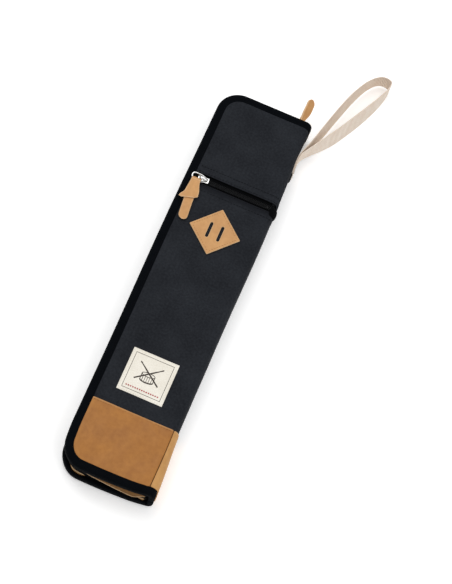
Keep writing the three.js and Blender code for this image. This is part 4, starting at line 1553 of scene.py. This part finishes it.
def strap_line():
    """The webbing's line as (s, t, lean): from its sewn end, out round its loop, and back beside itself."""
    loop_length, lean_over = 151.0, 52.0
    # Each side of the loop: its curve's corners (s, t) and how far its webbing leans over
    far_side = [(0, PLY), (37, 1.3), (loop_length, 36.0), (loop_length, 0)], math.radians(13.5)
    near_side = [(0, -PLY), (38, -6.5), (loop_length, -14.5), (loop_length, 0)], math.radians(22.6)
    out, back = np.linspace(0, 1, 44), np.linspace(1, 0, 44)[1:]
    tail = SEWN_LOW[1] - SWING[1]
    line = [(s, PLY, 0.0) for s in spaced(tail, 0, 2.5)]
    for (corners, angle), steps in [(far_side, out), (near_side, back)]:
        for u in steps:
            s, t = bezier(corners, u)
            line.append((s, t, angle * smoothstep(s, 0, lean_over) * (1 - smoothstep(u, 0.45, 0.95))))
    return line + [(s, -PLY, 0.0) for s in spaced(0, tail, 2.5)[1:] + [tail]]


def webbing():
    """One length of webbing, with both its ends sewn to the spine."""
    across = np.linspace(-HALF_WEB, HALF_WEB, 9)
    rows = np.array([[strap_point(s, t, w, lean) for w in across] for s, t, lean in strap_line()])
    along = lengths(rows[:, len(across) // 2])
    uv = [((w + HALF_WEB) * MM, a * MM) for a in along for w in across]
    web = cloth_piece("hand_strap_webbing", rows, WEBBING, WEB_THICKNESS, uv, 2, use_even_offset=True)
    start, end = [tuple((SWING + shift) * MM) for shift in [(0, -4, 0), (1.5, 5, 0)]]
    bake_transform(web)
    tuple(start)
    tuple(end)
    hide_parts("hand_strap", "hand_strap_sewn_ends")


def anchor_tab():
    """The black tab over the strap's ends. It humps up over their cut edges, with its own turned down."""
    low, high = cad("strap_anchor_patch")
    rows, columns = 10, 14
    points, uv = [], []
    for r in range(rows + 1):
        for c in range(columns + 1):
            u, v = c / columns, r / rows
            y = low[1] + (high[1] - low[1]) * u
            z = low[2] + (high[2] - low[2]) * v
            drop = 1.0 - smoothstep(min(u, 1 - u, v, 1 - v), 0.0, 0.12)
            hump = 2.2 * (1 - smoothstep(y, SEWN_LOW[1] - 2.5, SEWN_LOW[1] - 0.5))
            points.append((high[0] - 1.4 + hump * (1 - drop) - drop + 0.1 * ripple(y, z, 0, 7), y, z))
            uv.append((y * MM, z * MM))
    tab = mesh_piece("strap_anchor_tab", points, grid_faces(rows + 1, columns + 1), BAND, uv, outward=False)
    thicken(facing(tab, 0), 1.0)
    smooth(tab)
    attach(tab, "spine")
    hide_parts("strap_anchor_patch")


def hand_strap():
    webbing()
    anchor_tab()
    # The sewn ends' box of stitches, with its two diagonals
    x = SWING[0] + PLY + WEB_THICKNESS / 2
    y0, y1, z0, z1 = SEWN_LOW[1] + 2.0, SEWN_LOW[1] + 12.0, SEWN_LOW[2] + 3, SEWN_HIGH[2] - 3
    corners = [(x, y0, z0), (x, y1, z0), (x, y1, z1), (x, y0, z1)]
    pairs = sides(corners) + [(corners[0], corners[2]), (corners[3], corners[1])]
    rows = [seam(a, b, 8, (1, 0, 0)) for a, b in pairs]
    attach(stitches("strap_box_stitches", rows, BLACK_THREAD, 2.4, 1.8, 0.26), "spine")


photo_camera()
pale_floor()
soft_light()
hand_strap()
front_skin()
back_skin()
bindings()
rim_zip("front")
rim_zip("back")
pocket_zip()
pocket_slider()
pocket_pull()
main_slider()
main_pull()
lash_patch()
label()
lining("front", FRONT_FOLD, -1, ["front_lining", "spine_lining"])
lining("back", BACK_FOLD, 1, ["back_lining"])
stick_sleeves()
slip_pocket()
inner_layers()
